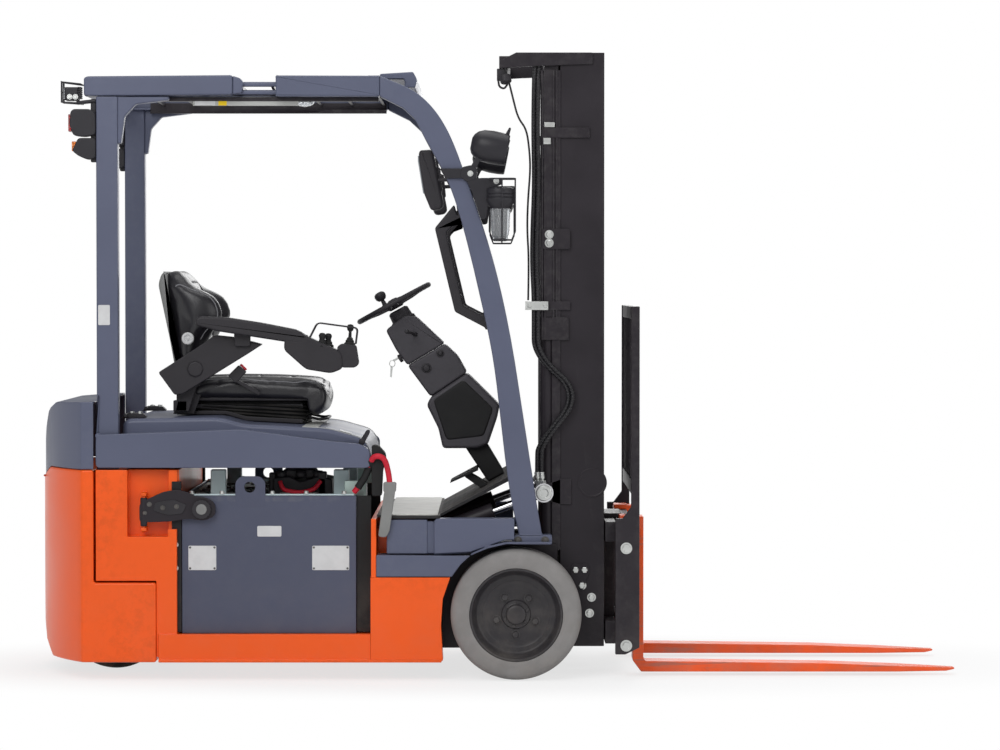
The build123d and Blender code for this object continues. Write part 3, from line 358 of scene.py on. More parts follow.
# Pale grey-green of the cell covers, made lighter as painted light for cell tops that sit in shade under the
# hood
paint("cell_grey_and_painted_light", (176, 194, 188), 0.5, 600, 0.08, 9, 0.12, dust=0.3, slot="battery_grey")
paint("post_white", (196, 212, 216), 0.35, 600, 0.04, 9, 0.06, slot="battery_grey")
paint("worn_steel", (172, 172, 168), 0.5, 500, 0.1, 14, 0.2, metal=0.3, dust=0.4, slot="steel_plain")
paint("label_white", (206, 207, 208), 0.5, 900, 0.02, 30, 0.04, slot="steel_plain")
paint("label_yellow", (232, 196, 20), 0.5, 900, 0.02, 30, 0.05, slot="steel_plain")
paint("red_lead", (196, 32, 52), 0.45, 900, 0.1, 12, 0.1, slot="rubber_black")
paint("plug_grey", (128, 129, 128), 0.55, 1200, 0.1, 10, 0.08, slot="plastic_black")
paint("lamp_plastic", (38, 37, 42), 0.4, 1100, 0.1, 8, 0.1)
paint("mirror_glass", (190, 196, 202), 0.05, 300, 0.005, 4, 0.03, metal=1.0, slot="lamp_plastic")
for name, rgb in (("clear_lens", (232, 236, 240)), ("amber_lens", (240, 130, 20)),
                  ("red_lens", (200, 20, 20))):
    FINISHES[name] = (lens(name, colour(*rgb)), "lamp_plastic")


# Mesh helpers


def plain_mesh(obj):
    """Applies an object's modifiers and leaves a plain mesh."""
    graph = bpy.context.evaluated_depsgraph_get()
    made = bpy.data.meshes.new_from_object(obj.evaluated_get(graph), depsgraph=graph)
    obj.modifiers.clear()
    old, obj.data = obj.data, made
    made.name = obj.name
    return old


def soften(obj, edge, steps, angle):
    """Rounds edges sharper than angle, then sets smooth shading that keeps flat faces flat."""
    if edge:
        made = obj.modifiers.new("Edges", "BEVEL")
        made.width, made.segments = edge * MM, steps
        made.limit_method, made.angle_limit = "ANGLE", math.radians(angle)
        made.use_clamp_overlap, made.miter_outer = False, "MITER_ARC"
        plain_mesh(obj)
    obj.data.shade_smooth()
    obj.data.set_sharp_from_angle(angle=math.radians(38))
    made = obj.modifiers.new("Shading", "WEIGHTED_NORMAL")
    made.keep_sharp, made.weight = True, 60
    plain_mesh(obj)


def object_of(name, mesh):
    """Turns a bmesh into an object of the scene."""
    data = bpy.data.meshes.new(name)
    mesh.to_mesh(data)
    mesh.free()
    obj = bpy.data.objects.new(name, data)
    SCENE.collection.objects.link(obj)
    return obj


def fit(obj, name, body, replaces=()):
    """Gives a finished object its material and body, and hides the nodes it replaces."""
    material, slot = FINISHES[name]
    if not obj.data.materials:
        obj.data.materials.append(material)
    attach(obj, body)
    if replaces:
        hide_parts(*replaces)
    return obj


def build(name, mesh, surface, body, edge=0.0, steps=2, angle=32, replaces=(), merge=True):
    """Turns a bmesh into a finished piece on its body."""
    if merge:
        bmesh.ops.remove_doubles(mesh, verts=mesh.verts, dist=0.00001)
    bmesh.ops.recalc_face_normals(mesh, faces=mesh.faces)
    obj = object_of(name, mesh)
    soften(obj, edge, steps, angle)
    return fit(obj, surface, body, replaces)


def dress(node, surface, edge=2.0, steps=2, angle=32):
    """A merged copy of a CAD node with rounded edges, which stands for the node."""
    source = frame["nodes"][node]
    mesh = bmesh.new()
    mesh.from_mesh(source.data)
    bmesh.ops.remove_doubles(mesh, verts=mesh.verts, dist=0.00002)
    bmesh.ops.dissolve_limit(mesh, angle_limit=math.radians(0.8), verts=mesh.verts, edges=mesh.edges)
    return build(node + "_dressed", mesh, surface, source["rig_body"], edge, steps, angle, (node,), False)


def slab(mesh, corners, low, high, up=False):
    """Adds an outline in X and Z with thickness along Y, or in X and Y along Z."""
    def spot(a, b, depth):
        return place(a, b, depth) if up else place(a, depth, b)
    near = [mesh.verts.new(spot(a, b, low)) for a, b in corners]
    far = [mesh.verts.new(spot(a, b, high)) for a, b in corners]
    mesh.faces.new(near)
    mesh.faces.new(list(reversed(far)))
    for i in range(len(near)):
        j = (i + 1) % len(near)
        mesh.faces.new((near[j], near[i], far[i], far[j]))


def brick(mesh, x0, x1, y0, y1, z0, z1):
    """Adds a block between two corners."""
    slab(mesh, [(x0, z0), (x1, z0), (x1, z1), (x0, z1)], y0, y1)


def rounded(corners, radius, steps=5, closed=True):
    """The corners of an outline or path with each one rounded off."""
    out, count = [], len(corners)
    for i, corner in enumerate(corners):
        if not closed and i in (0, count - 1):
            out.append(Vector(corner))
            continue
        here, before, after = Vector(corner), Vector(corners[i - 1]), Vector(corners[(i + 1) % count])
        first, second = before - here, after - here
        reach = min(radius, first.length * 0.48, second.length * 0.48)
        start, end = here + first.normalized() * reach, here + second.normalized() * reach
        for k in range(steps + 1):
            t = k / steps
            out.append(start * (1 - t) ** 2 + here * 2 * t * (1 - t) + end * t**2)
    return [tuple(v) for v in out]


def plate(mesh, corners, radius, steps, low, high):
    """Adds a slab whose outline has rounded corners."""
    slab(mesh, rounded(corners, radius, steps), low, high)


def ring_angles(count):
    """Evenly spaced angles round a full turn."""
    return [2 * math.pi * k / count for k in range(count)]


def ring_of(mesh, centre, side, other, radius, steps):
    """Adds the points of a circle in the plane of two unit vectors."""
    return [mesh.verts.new(centre + (side * math.cos(a) + other * math.sin(a)) * radius * MM)
            for a in ring_angles(steps)]


def bridge(mesh, first, second, closed=True):
    """Adds the faces between two rows of points."""
    for k in range(len(first) if closed else len(first) - 1):
        j = (k + 1) % len(first)
        mesh.faces.new((first[k], first[j], second[j], second[k]))


def turned(mesh, profile, start, way, steps=48, closed=False):
    """Adds a (distance, radius) profile turned about the line from start along way."""
    way = Vector(way).normalized()
    side = way.orthogonal().normalized()
    other = way.cross(side)
    rings = []
    for distance, radius in profile:
        centre = start + way * distance * MM
        if radius < 1e-6:
            rings.append([mesh.verts.new(centre)])
        else:
            rings.append(ring_of(mesh, centre, side, other, radius, steps))
    pairs = list(zip(rings, rings[1:])) + ([(rings[-1], rings[0])] if closed else [])
    for first, second in pairs:
        for i in range(steps):
            j = (i + 1) % steps
            corners = [first[i % len(first)], first[j % len(first)], second[j % len(second)],
                       second[i % len(second)]]
            corners = list(dict.fromkeys(corners))
            if len(corners) > 2:
                mesh.faces.new(corners)


def round_bar(mesh, start, end, radius, steps=20, tip=1.0):
    """Adds a round bar between two drawing points, with chamfered ends."""
    a, b = place(*start), place(*end)
    length = (b - a).length / MM
    profile = [(0, 0), (0, radius - tip), (tip, radius), (length - tip, radius), (length, radius - tip),
               (length, 0)]
    turned(mesh, profile, a, b - a, steps)


def tube(mesh, points, radius, steps=10, closed=False):
    """Adds a round tube through drawing points."""
    spots = [place(*p) for p in points]
    count = len(spots)
    rings, side = [], None
    for i, spot in enumerate(spots):
        before = spots[i - 1] if closed or i else spots[i]
        after = spots[(i + 1) % count] if closed or i < count - 1 else spots[i]
        way = (after - before).normalized()
        side = way.orthogonal() if side is None else side - way * side.dot(way)
        side.normalize()
        rings.append(ring_of(mesh, spot, side, way.cross(side), radius, steps))
    for first, second in list(zip(rings, rings[1:])) + ([(rings[-1], rings[0])] if closed else []):
        bridge(mesh, first, second)
    if not closed:
        mesh.faces.new(list(reversed(rings[0])))
        mesh.faces.new(rings[-1])


def lofted(mesh, rings):
    """Adds a closed skin over rings of points that all have the same number of points."""
    rows = [[mesh.verts.new(p) for p in ring] for ring in rings]
    for first, second in zip(rows, rows[1:]):
        bridge(mesh, first, second)
    mesh.faces.new(list(reversed(rows[0])))
    mesh.faces.new(rows[-1])


def step(value, low, high):
    """A smooth 0 to 1 step."""
    t = max(0.0, min(1.0, (value - low) / (high - low)))
    return t * t * (3 - 2 * t)


def along_line(points, x):
    """Height at x on a line through (x, height) points."""
    for (x0, z0), (x1, z1) in zip(points, points[1:]):
        if x <= x1:
            return z0 + (z1 - z0) * max(0.0, min(1.0, (x - x0) / (x1 - x0)))
    return points[-1][1]


# Repeated pieces made by Geometry Nodes


def geometry_tree(name, inputs):
    """A Geometry Nodes group with a mesh in, the given inputs and a mesh out."""
    tree, given, made = new_group(
        name, [("Geometry", "NodeSocketGeometry", None)] + inputs, [("Geometry", "NodeSocketGeometry")],
        "GeometryNodeTree")
    tree.is_modifier = True
    return tree, given, made


def end_tree(tree, given, made, geometry):
    """Makes the copies real, gives them their material and ends the tree."""
    real = add(tree, "GeometryNodeRealizeInstances", _0=geometry)
    surface = add(tree, "GeometryNodeSetMaterial", _0=real.outputs[0])
    tree.links.new(given.outputs["Surface"], surface.inputs["Material"])
    tree.links.new(surface.outputs[0], made.inputs[0])
    return tree


def bolt_heads():
    """A hexagon head on a washer at each point, turned to face the point's own direction."""
    tree, given, made = geometry_tree("bolt_heads", [
        ("Width", "NodeSocketFloat", 0.016), ("Height", "NodeSocketFloat", 0.008),
        ("Sides", "NodeSocketInt", 6), ("Surface", "NodeSocketMaterial", None)])
    half = arithmetic(tree, "MULTIPLY", given.outputs["Width"], 0.577)
    washer = arithmetic(tree, "MULTIPLY", given.outputs["Width"], 0.78)
    thick = arithmetic(tree, "MULTIPLY", given.outputs["Height"], 0.2)
    parts = []
    for radius, depth, sides in ((half, given.outputs["Height"], given.outputs["Sides"]),
                                 (washer, thick, 20)):
        drum = add(tree, "GeometryNodeMeshCylinder", Radius=radius, Depth=depth, Vertices=sides)
        lift = add(tree, "ShaderNodeCombineXYZ", Z=arithmetic(tree, "MULTIPLY", depth, 0.5))
        parts.append(add(tree, "GeometryNodeTransform", _0=drum.outputs[0], Translation=lift.outputs[0]))
    tapered = arithmetic(tree, "MULTIPLY", given.outputs["Width"], 0.46)
    crown = add(tree, "GeometryNodeMeshCone", {"fill_type": "NGON"}, Vertices=given.outputs["Sides"],
                Radius_Bottom=half, Radius_Top=tapered, Depth=thick)
    lift = add(tree, "ShaderNodeCombineXYZ", Z=given.outputs["Height"])
    parts.append(add(tree, "GeometryNodeTransform", _0=crown.outputs[0], Translation=lift.outputs[0]))
    joined = add(tree, "GeometryNodeJoinGeometry")
    for part in parts:
        tree.links.new(part.outputs[0], joined.inputs[0])
    way = add(tree, "GeometryNodeInputNamedAttribute", {"data_type": "FLOAT_VECTOR"}, Name="facing")
    turn = add(tree, "FunctionNodeAlignRotationToVector", Vector=way.outputs[0])
    copies = add(tree, "GeometryNodeInstanceOnPoints", Points=given.outputs[0], Instance=joined.outputs[0],
                 Rotation=turn.outputs[0])
    return end_tree(tree, given, made, copies.outputs[0])


def chain_links():
    """Roller chain along an edge line: side plates and rollers at each pitch, wide and narrow in turn."""
    tree, given, made = geometry_tree("chain_links", [
        ("Pitch", "NodeSocketFloat", 0.019), ("Plate", "NodeSocketFloat", 0.018),
        ("Width", "NodeSocketFloat", 0.016), ("Surface", "NodeSocketMaterial", None)])
    line = add(tree, "GeometryNodeMeshToCurve", Mesh=given.outputs[0])
    even = add(tree, "GeometryNodeCurveToPoints", {"mode": "LENGTH"}, Curve=line.outputs[0],
               Length=given.outputs["Pitch"])
    turn = add(tree, "FunctionNodeAlignRotationToVector", Vector=even.outputs["Tangent"])
    length = arithmetic(tree, "MULTIPLY", given.outputs["Pitch"], 1.75)
    thick = arithmetic(tree, "MULTIPLY", given.outputs["Width"], 0.14)
    parity = arithmetic(tree, "MODULO", add(tree, "GeometryNodeInputIndex").outputs[0], 2.0)
    rows = []
    for spread, odd in ((0.5, True), (0.33, False)):
        plates = add(tree, "GeometryNodeJoinGeometry")
        size = add(tree, "ShaderNodeCombineXYZ", X=given.outputs["Plate"], Y=thick, Z=length)
        for side in (-spread, spread):
            cube = add(tree, "GeometryNodeMeshCube", Size=size.outputs[0])
            shift = arithmetic(tree, "MULTIPLY", given.outputs["Width"], side)
            away = add(tree, "ShaderNodeCombineXYZ", Y=shift)
            moved = add(tree, "GeometryNodeTransform", _0=cube.outputs[0], Translation=away.outputs[0])
            tree.links.new(moved.outputs[0], plates.inputs[0])
        chosen = parity if odd else arithmetic(tree, "SUBTRACT", 1.0, parity)
        rows.append(add(tree, "GeometryNodeInstanceOnPoints", Points=even.outputs["Points"],
                        Selection=chosen, Instance=plates.outputs[0], Rotation=turn.outputs[0]))
    pin_radius = arithmetic(tree, "MULTIPLY", given.outputs["Plate"], 0.3)
    pin = add(tree, "GeometryNodeMeshCylinder", Vertices=10, Radius=pin_radius, Depth=given.outputs["Width"])
    laid = add(tree, "GeometryNodeTransform", _0=pin.outputs[0], Rotation=(math.pi / 2, 0, 0))
    rows.append(add(tree, "GeometryNodeInstanceOnPoints", Points=even.outputs["Points"],
                    Instance=laid.outputs[0], Rotation=turn.outputs[0]))
    joined = add(tree, "GeometryNodeJoinGeometry")
    for row in rows:
        tree.links.new(row.outputs[0], joined.inputs[0])
    return end_tree(tree, given, made, joined.outputs[0])


def bar_run():
    """A round bar swept along each edge line, for cages and guards."""
    tree, given, made = geometry_tree("bar_run", [
        ("Radius", "NodeSocketFloat", 0.003), ("Surface", "NodeSocketMaterial", None)])
    line = add(tree, "GeometryNodeMeshToCurve", Mesh=given.outputs[0])
    circle = add(tree, "GeometryNodeCurvePrimitiveCircle", Resolution=8, Radius=given.outputs["Radius"])
    swept = add(tree, "GeometryNodeCurveToMesh", _0=line.outputs[0])
    tree.links.new(circle.outputs[0], swept.inputs["Profile Curve"])
    swept.inputs["Fill Caps"].default_value = True
    return end_tree(tree, given, made, swept.outputs[0])


BOLTS, CHAIN, BARS = bolt_heads(), chain_links(), bar_run()


def grown(name, tree, spots, edges, surface, body, facing=None, **sizes):
    """Runs a Geometry Nodes tree on a few points or lines and keeps the plain result."""
    data = bpy.data.meshes.new(name)
    data.from_pydata([tuple(s) for s in spots], edges, [])
    if facing:
        made = data.attributes.new("facing", "FLOAT_VECTOR", "POINT")
        made.data.foreach_set("vector", [v for way in facing for v in way])
    obj = bpy.data.objects.new(name, data)
    SCENE.collection.objects.link(obj)
    modifier = obj.modifiers.new(name, "NODES")
    modifier.node_group = tree
    values = dict(sizes, Surface=FINISHES[surface][0])
    for item in tree.interface.items_tree:
        if item.in_out == "INPUT" and item.name in values:
            modifier[item.identifier] = values[item.name]
    plain_mesh(obj)
    obj.data.shade_smooth()
    obj.data.set_sharp_from_angle(angle=math.radians(35))
    return fit(obj, surface, body)


def bolts(name, body, spots, facing, width=16, height=8, surface="zinc", sides=6):
    """Bolt heads at drawing points that all face one way, or each its own."""
    ways = [facing] * len(spots) if not isinstance(facing[0], tuple) else facing
    return grown(name, BOLTS, [place(*s) for s in spots], [], surface, body, ways, Width=width * MM,
                 Height=height * MM, Sides=sides)


def run_lines(runs):
    """The points and edges of runs of drawing points."""
    spots, edges = [], []
    for run in runs:
        first = len(spots)
        spots += [place(*p) for p in run]
        edges += [(first + i, first + i + 1) for i in range(len(run) - 1)]
    return spots, edges


def bars(name, body, runs, radius, surface="lamp_plastic"):
    """Round bars along runs of drawing points."""
    return grown(name, BARS, *run_lines(runs), surface, body, Radius=radius * MM)


def outward(spots):
    """For each point, the direction away from the truck's middle."""
    return [(0, math.copysign(1, y), 0) for x, y, z in spots]


def left_only(side, node):
    """The node that a pair of pieces stands for, claimed by the left one."""
    return (node,) if side > 0 else ()


# Wheels


def nuts(name, body, axle, count, first, reach, y, way, width, height):
    """A ring of bolt heads round an axle, the first one at an angle in degrees."""
    angles = [math.radians(first + 360 // count * i) for i in range(count)]
    spots = [(axle[0] + reach * math.cos(a), y, axle[2] + reach * math.sin(a)) for a in angles]
    bolts(name, body, spots, way, width, height, "rim_dark")


def front_wheels():
    """Each tyre and rim as turned profiles of distance from the truck's middle and radius."""
    for side, word in SIDES:
        body = f"front_wheel_{word}"
        centre, way = place(*FRONT_AXLE), (0, side, 0)
        cut = ((0, 228), (1.5, 225), (6, 225), (7.5, 228))
        grooves = [(start + along, radius) for start in (398, 437, 476) for along, radius in cut]
        tread = [(350, 163), (350, 187), (352.5, 188.5), (352.5, 192), (350, 193.5), (353, 208), (360, 219)]
        tread += [(370, 225.6), (384, 228)] + grooves
        tread += [(496, 228), (510, 225.6), (520, 219), (526, 209), (528.6, 196), (529.6, 180), (529.6, 170)]
        tread += [(527, 163)]
        mesh = bmesh.new()
        turned(mesh, tread, centre, way, 128, closed=True)
        build(f"front_tyre_{word}", mesh, "tyre_grey", body, replaces=(f"tyre_{word}",))
        dish = [(462, 0), (462, 35.2), (440, 35.2), (440, 134), (358, 140), (356, 145), (356, 162.5)]
        dish += [(525, 162.5), (527.5, 160.5), (527.5, 155), (524, 151.5), (516, 149.5), (497, 140),
                 (492, 136)]
        dish += [(490.5, 130), (490.5, 118), (488, 115), (486.5, 108), (486.5, 96), (489, 92), (490, 60)]
        dish += [(492, 52), (500, 48), (501, 40), (503, 36), (512, 34.5), (516, 31), (517.5, 24), (517.5, 0)]
        mesh = bmesh.new()
        turned(mesh, dish, centre, way, 96)
        build(f"front_rim_{word}", mesh, "rim_dark", body, replaces=(f"rim_{word}",))
        nuts(f"wheel_nuts_{word}", body, FRONT_AXLE, 5, 52, 71, side * 489.5, way, 22, 11)
        nuts(f"hub_screws_{word}", body, FRONT_AXLE, 6, 20, 40, side * 501, way, 9, 4)


def rear_wheels():
    """The twin wheels under the counterweight: tyres, rims and nuts."""
    centre = place(*REAR_AXLE)
    for side, word in SIDES:
        way = (0, side, 0)
        tread = [(42, 104), (42, 150), (46, 172), (54, 183), (66, 188), (121, 188), (133, 183), (141, 172)]
        tread += [(145, 150), (145, 118), (143, 104)]
        mesh = bmesh.new()
        turned(mesh, tread, centre, way, 96, closed=True)
        build(f"twin_tyre_{word}", mesh, "tyre_black", "rear_wheels", replaces=left_only(side, "rear_tyres"))
        dish = [(108, 0), (108, 25.2), (44, 25.2), (44, 104.5), (139, 104.5), (141, 102), (139, 93),
                (133, 91)]
        dish += [(100, 84), (96, 78), (96, 50), (100, 46), (118, 42), (120, 38), (120, 0)]
        mesh = bmesh.new()
        turned(mesh, dish, centre, way, 64)
        build(f"twin_rim_{word}", mesh, "rim_dark", "rear_wheels", replaces=left_only(side, "rear_rims"))
        nuts(f"twin_nuts_{word}", "rear_wheels", REAR_AXLE, 5, 18, 64, side * 96, way, 19, 10)


front_wheels()
rear_wheels()


# Painted and cast pieces whose shape is the CAD's


DRESSED = {
    "frame": ("body_orange", 2.5), "front_frame": ("mast_black", 2.0), "counterweight": ("body_orange", 7.0),
    "rear_cover": ("panel_grey", 4.0), "cowl_sides": ("panel_grey", 4.0), "floor_plates": ("floor_mat", 1.5),
    "drive_axle": ("cast_black", 3.0), "mast_bearings": ("cast_black", 2.0),
    "steer_knuckle": ("cast_black", 3.0),
    "front_pillars": ("panel_grey", 5.0), "rear_pillars": ("panel_grey", 5.0),
    "grab_handles": ("plastic_black", 7.0), "pedals": ("rubber_black", 2.0),
    "outer_rails": ("mast_black", 1.8), "outer_crossbars": ("mast_black", 2.0),
    "lift_barrels": ("mast_black", 1.5),
    "middle_rails": ("mast_black", 1.8), "middle_crossbars": ("mast_black", 2.0),
    "lift_rods": ("steel_bright", 1.0), "inner_rails": ("mast_black", 1.8),
    "inner_crossbars": ("mast_black", 2.0), "free_lift_barrel": ("mast_black", 2.0),
    "free_lift_head": ("steel_plain", 1.5), "carriage": ("mast_black", 2.0),
    "carriage_bars": ("mast_black", 3.0),
    "shift_frame": ("mast_black", 3.0), "load_backrest": ("mast_black", 2.5),
    "tilt_barrel_left": ("mast_black", 1.5), "tilt_barrel_right": ("mast_black", 1.5),
    "tilt_rod_left": ("steel_bright", 1.0), "tilt_rod_right": ("steel_bright", 1.0),
    "fork_left": ("fork_orange", 3.5), "fork_right": ("fork_orange", 3.5),
}

for node, (coat, edge) in DRESSED.items():
    dress(node, coat, edge)


# Seat


def pad(name, rings, travel):
    """A filled vinyl cushion: an even skin over the rings, blown up by cloth pressure and smoothed."""
    mesh = bmesh.new()
    lofted(mesh, rings)
    bmesh.ops.recalc_face_normals(mesh, faces=mesh.faces)
    obj = object_of(name, mesh)
    even = obj.modifiers.new("Even", "REMESH")
    even.mode, even.voxel_size = "VOXEL", 0.0075
    plain_mesh(obj)
    start = [v.co.copy() for v in obj.data.vertices]
    filling = obj.modifiers.new("Filling", "CLOTH")
    filling.settings.use_pressure = True
    filling.settings.uniform_pressure_force = 4.0
    filling.settings.effector_weights.gravity = 0.0
    filling.settings.quality = 5
    filling.point_cache.frame_start, filling.point_cache.frame_end = 1, 12
    for step_number in range(1, 13):
        SCENE.frame_set(step_number)
    plain_mesh(obj)
    for vertex, first in zip(obj.data.vertices, start):
        moved = vertex.co - first
        if moved.length > travel * MM:
            vertex.co = first + moved.normalized() * travel * MM
    SCENE.frame_set(1)
    even = obj.modifiers.new("Settle", "SMOOTH")
    even.factor, even.iterations = 0.5, 5
    fine = obj.modifiers.new("Fine", "SUBSURF")
    fine.levels = fine.render_levels = 1
    plain_mesh(obj)
    obj.data.shade_smooth()
    return obj


def sewn(obj, lines, depth, width):
    """Presses sewn channels into a cushion along lines of points that lie on it."""
    near = KDTree(sum(len(line) for line in lines))
    for number, point in enumerate(p for line in lines for p in line):
        near.insert(point, number)
    near.balance()
    for vertex in obj.data.vertices:
        gap = near.find(vertex.co)[2] / (width * MM)
        if gap < 2.5:
            vertex.co -= vertex.normal * depth * MM * math.exp(-gap * gap * 1.6)


def laid_on(obj, points, way):
    """Drops drawing points along way onto a cushion's skin."""
    skin = BVHTree.FromPolygons([v.co for v in obj.data.vertices], [p.vertices for p in obj.data.polygons])
    hits = [skin.ray_cast(place(*p), Vector(way))[0] for p in points]
    return [h for h in hits if h]


def between(points, count):
    """Evenly spread points along straight runs between drawing points."""
    spread = []
    for a, b in zip(points, points[1:]):
        spread += [tuple(Vector(a).lerp(Vector(b), k / count)) for k in range(count)]
    return spread + [points[-1]]


def welt(name, lines, radius=2.4):
    """Piping sewn along lines of points on a cushion."""
    mesh = bmesh.new()
    for line in lines:
        tube(mesh, [(p.x / MM - SHIFT, p.y / MM, p.z / MM) for p in line], radius, 8)
    return build(name, mesh, "welt_grey", "seat_hood", merge=False)


def cushion():
    """The seat cushion, a filled cover with a welt."""
    side = rounded([
        (-1096, 979), (-1094, 1016), (-1060, 1030), (-930, 1033), (-800, 1031), (-690, 1026), (-636, 1020),
        (-610, 1004), (-604, 973), (-613, 942), (-636, 914), (-658, 903), (-669, 912), (-672, 979)], 16, 4)
    rings = []
    for number in range(33):
        t = -1 + 2 * number / 32
        y = 229 * math.sin(t * math.pi / 2) if abs(t) < 1 else 229 * t
        pull = (1 - abs(y / 230) ** 9) ** 0.5
        ring = []
        for x, z in side:
            top = step(z, 985, 1015)
            z += top * (9 * step(abs(y), 110, 175) - 5 * (1 - step(abs(y), 0, 130)))
            ring.append(place(-860 + (x + 860) * (0.93 + 0.07 * pull), y,
                              965 + (z - 965) * (0.55 + 0.45 * pull)))
        rings.append(ring)
    obj = pad("seat_cushion_pad", rings, 9)
    top = (0, 0, -1)
    bolster = [laid_on(obj, between([(-1075, y, 1100), (-640, y, 1100)], 60), top) for y in (-140, 140)]
    cross = [laid_on(obj, between([(x, -136, 1100), (x, 136, 1100)], 40), top) for x in (-985, -870, -755)]
    front = laid_on(obj, between([(-640, -140, 1100), (-640, 140, 1100)], 40), top)
    sewn(obj, bolster + [front], 4.5, 5)
    sewn(obj, cross, 4.0, 6)
    fit(obj, "seat_black", "seat_hood", ("seat_cushion",))
    corners = [(-1075, -206, 1100), (-640, -206, 1100), (-622, -190, 1100), (-617, 0, 1100),
               (-622, 190, 1100), (-640, 206, 1100), (-1075, 206, 1100)]
    rim = laid_on(obj, between(corners, 24), top)
    welt("cushion_welt", [rim])


def backrest():
    """The seat back, a filled cover with a welt."""
    # Height, back, front at the middle, front of the side wings, half width
    levels = [
        (1044, -1112, -1074, -1076, 196), (1052, -1124, -1066, -1066, 214), (1085, -1134, -1058, -1058, 226),
        (1130, -1144, -1054, -1050, 231), (1175, -1153, -1054, -1038, 233), (1205, -1159, -1058, -1020, 233),
        (1235, -1165, -1064, -994, 233), (1260, -1170, -1070, -979, 233), (1285, -1175, -1076, -980, 233),
        (1310, -1179, -1082, -989, 232), (1332, -1183, -1088, -1006, 230), (1350, -1186, -1094, -1036, 226),
        (1368, -1189, -1100, -1074, 220), (1390, -1191, -1108, -1098, 208), (1408, -1190, -1118, -1112, 192),
        (1422, -1184, -1130, -1126, 168), (1430, -1174, -1144, -1142, 140)]
    rings = []
    for z, back, middle, wing, half in levels:
        front, rear = [], []
        for number in range(41):
            y = half * math.sin((number / 20 - 1) * math.pi / 2)
            x = middle + (wing - middle) * step(abs(y), 95, 190)
            pull = max(0.0, 1 - abs(y / half) ** 8) ** 0.5
            spine = (max(x, back + 60) + back) / 2 if number not in (0, 40) else (x + back) / 2
            front.append(place(spine + (x - spine) * pull, y, z))
            rear.append(place(spine + (back - spine) * pull, y, z))
        rings.append(front + list(reversed(rear[1:-1])))
    obj = pad("seat_back_pad", rings, 8)
    ahead = (-1, 0, 0)
    upright = [laid_on(obj, between([(-800, y, 1075), (-800, y, 1385)], 60), ahead) for y in (-112, 112)]
    cross = [laid_on(obj, between([(-800, -108, z), (-800, 108, z)], 40), ahead) for z in (1140, 1215, 1290)]
    collar = laid_on(obj, between([(-800, -112, 1385), (-800, 112, 1385)], 30), ahead)
    sewn(obj, upright + [collar], 4.5, 5)
    sewn(obj, cross, 4.0, 6)
    fit(obj, "seat_black", "seat_hood", ("seat_backrest",))
    lines = []
    for side in (-1, 1):
        run = [(-1160, 1500), (-1120, 1500), (-1085, 1450), (-1045, 1420), (-1010, 1420), (-990, 1400)]
        over = laid_on(obj, between([(x, side * 214, z) for x, z in run], 12), (0, 0, -1))
        down = laid_on(obj, between([(-800, side * 214, 1288), (-800, side * 214, 1180)], 20), ahead)
        lines.append(over + down[2:])
    welt("backrest_welt", lines)


def seat_shell():
    """The seat's shell, pan, bellows, slide bar, knobs, lever and buckle."""
    mesh = bmesh.new()
    shell = rounded([(-1213, 1376), (-1202, 1412), (-1186, 1424), (-1180, 1400), (-1164, 1200),
                     (-1134, 1060), (-1098, 992), (-1120, 984), (-1150, 1056), (-1172, 1180)], 14, 3)
    slab(mesh, shell, -206, 206)
    build("seat_shell", mesh, "plug_grey", "seat_hood", 9, 3, replaces=("seat_frame",))
    mesh = bmesh.new()
    brick(mesh, -1120, -682, -205, 205, 962, 976)
    brick(mesh, -1150, -1085, -190, 190, 925, 1000)
    for side in (-1, 1):
        brick(mesh, -1140, -700, side * 180, side * 150, 935, 950)
        slab(mesh, [(-1160, 915), (-1085, 915), (-1052, 1000), (-1080, 1045), (-1120, 1000)], side * 212,
             side * 222)
        slab(mesh, [(-1150, 912), (-973, 912), (-899, 890), (-700, 880), (-700, 896), (-899, 906),
                    (-973, 926), (-1150, 926)], side * 150, side * 190)
    build("seat_pan", mesh, "plastic_black", "seat_hood", 3)
    rings = []
    for number in range(13):
        swell = 0 if number % 2 else 9
        share = number / 12
        ring = []
        for x, y in rounded([(-1075, -178), (-692, -178), (-692, 178), (-1075, 178)], 40, 6):
            low = along_line([(-1200, 915), (-973, 913), (-899, 891), (-600, 877)], x) + 2
            grow = 1 + swell / 190
            ring.append(place(-884 + (x + 884) * grow, y * grow, low + (968 - low) * share))
        rings.append(ring)
    mesh = bmesh.new()
    lofted(mesh, rings)
    build("seat_bellows", mesh, "rubber_black", "seat_hood", 0, angle=180)
    bars("seat_slide_bar", "seat_hood", [rounded3([
        (-700, -120, 905), (-640, -120, 892), (-616, -100, 896), (-616, 100, 896), (-640, 120, 892),
        (-700, 120, 905)], 20)], 5, "plastic_black")
    mesh = bmesh.new()
    for side in (-1, 1):
        start = place(-1104, side * 236, 1184)
        turned(mesh, [(0, 0), (0, 22), (10, 22), (13, 19), (13, 13), (9, 11), (9, 6), (14, 5), (14, 0)],
               start, (0, side, 0), 40)
    build("recline_knobs", mesh, "label_white", "seat_hood", 1.0)
    mesh = bmesh.new()
    plate(mesh, [(-935, 1030), (-930, 1040), (-862, 1005), (-846, 990), (-852, 982), (-872, 992)], 5, 5,
          -250, -241)
    plate(mesh, [(-962, 1052), (-924, 1090), (-896, 1066), (-934, 1026)], 6, 5, -252, -224)
    build("recline_lever", mesh, "plastic_black", "seat_hood", 2.5)
    mesh = bmesh.new()
    slab(mesh, [(-921, 1090), (-914, 1095), (-894, 1075), (-900, 1070)], -246, -230)
    build("buckle_button", mesh, "red_lead", "seat_hood", 2)


def rounded3(points, radius, steps=5):
    """A path in space with its inner corners rounded."""
    return rounded(points, radius, steps, closed=False)


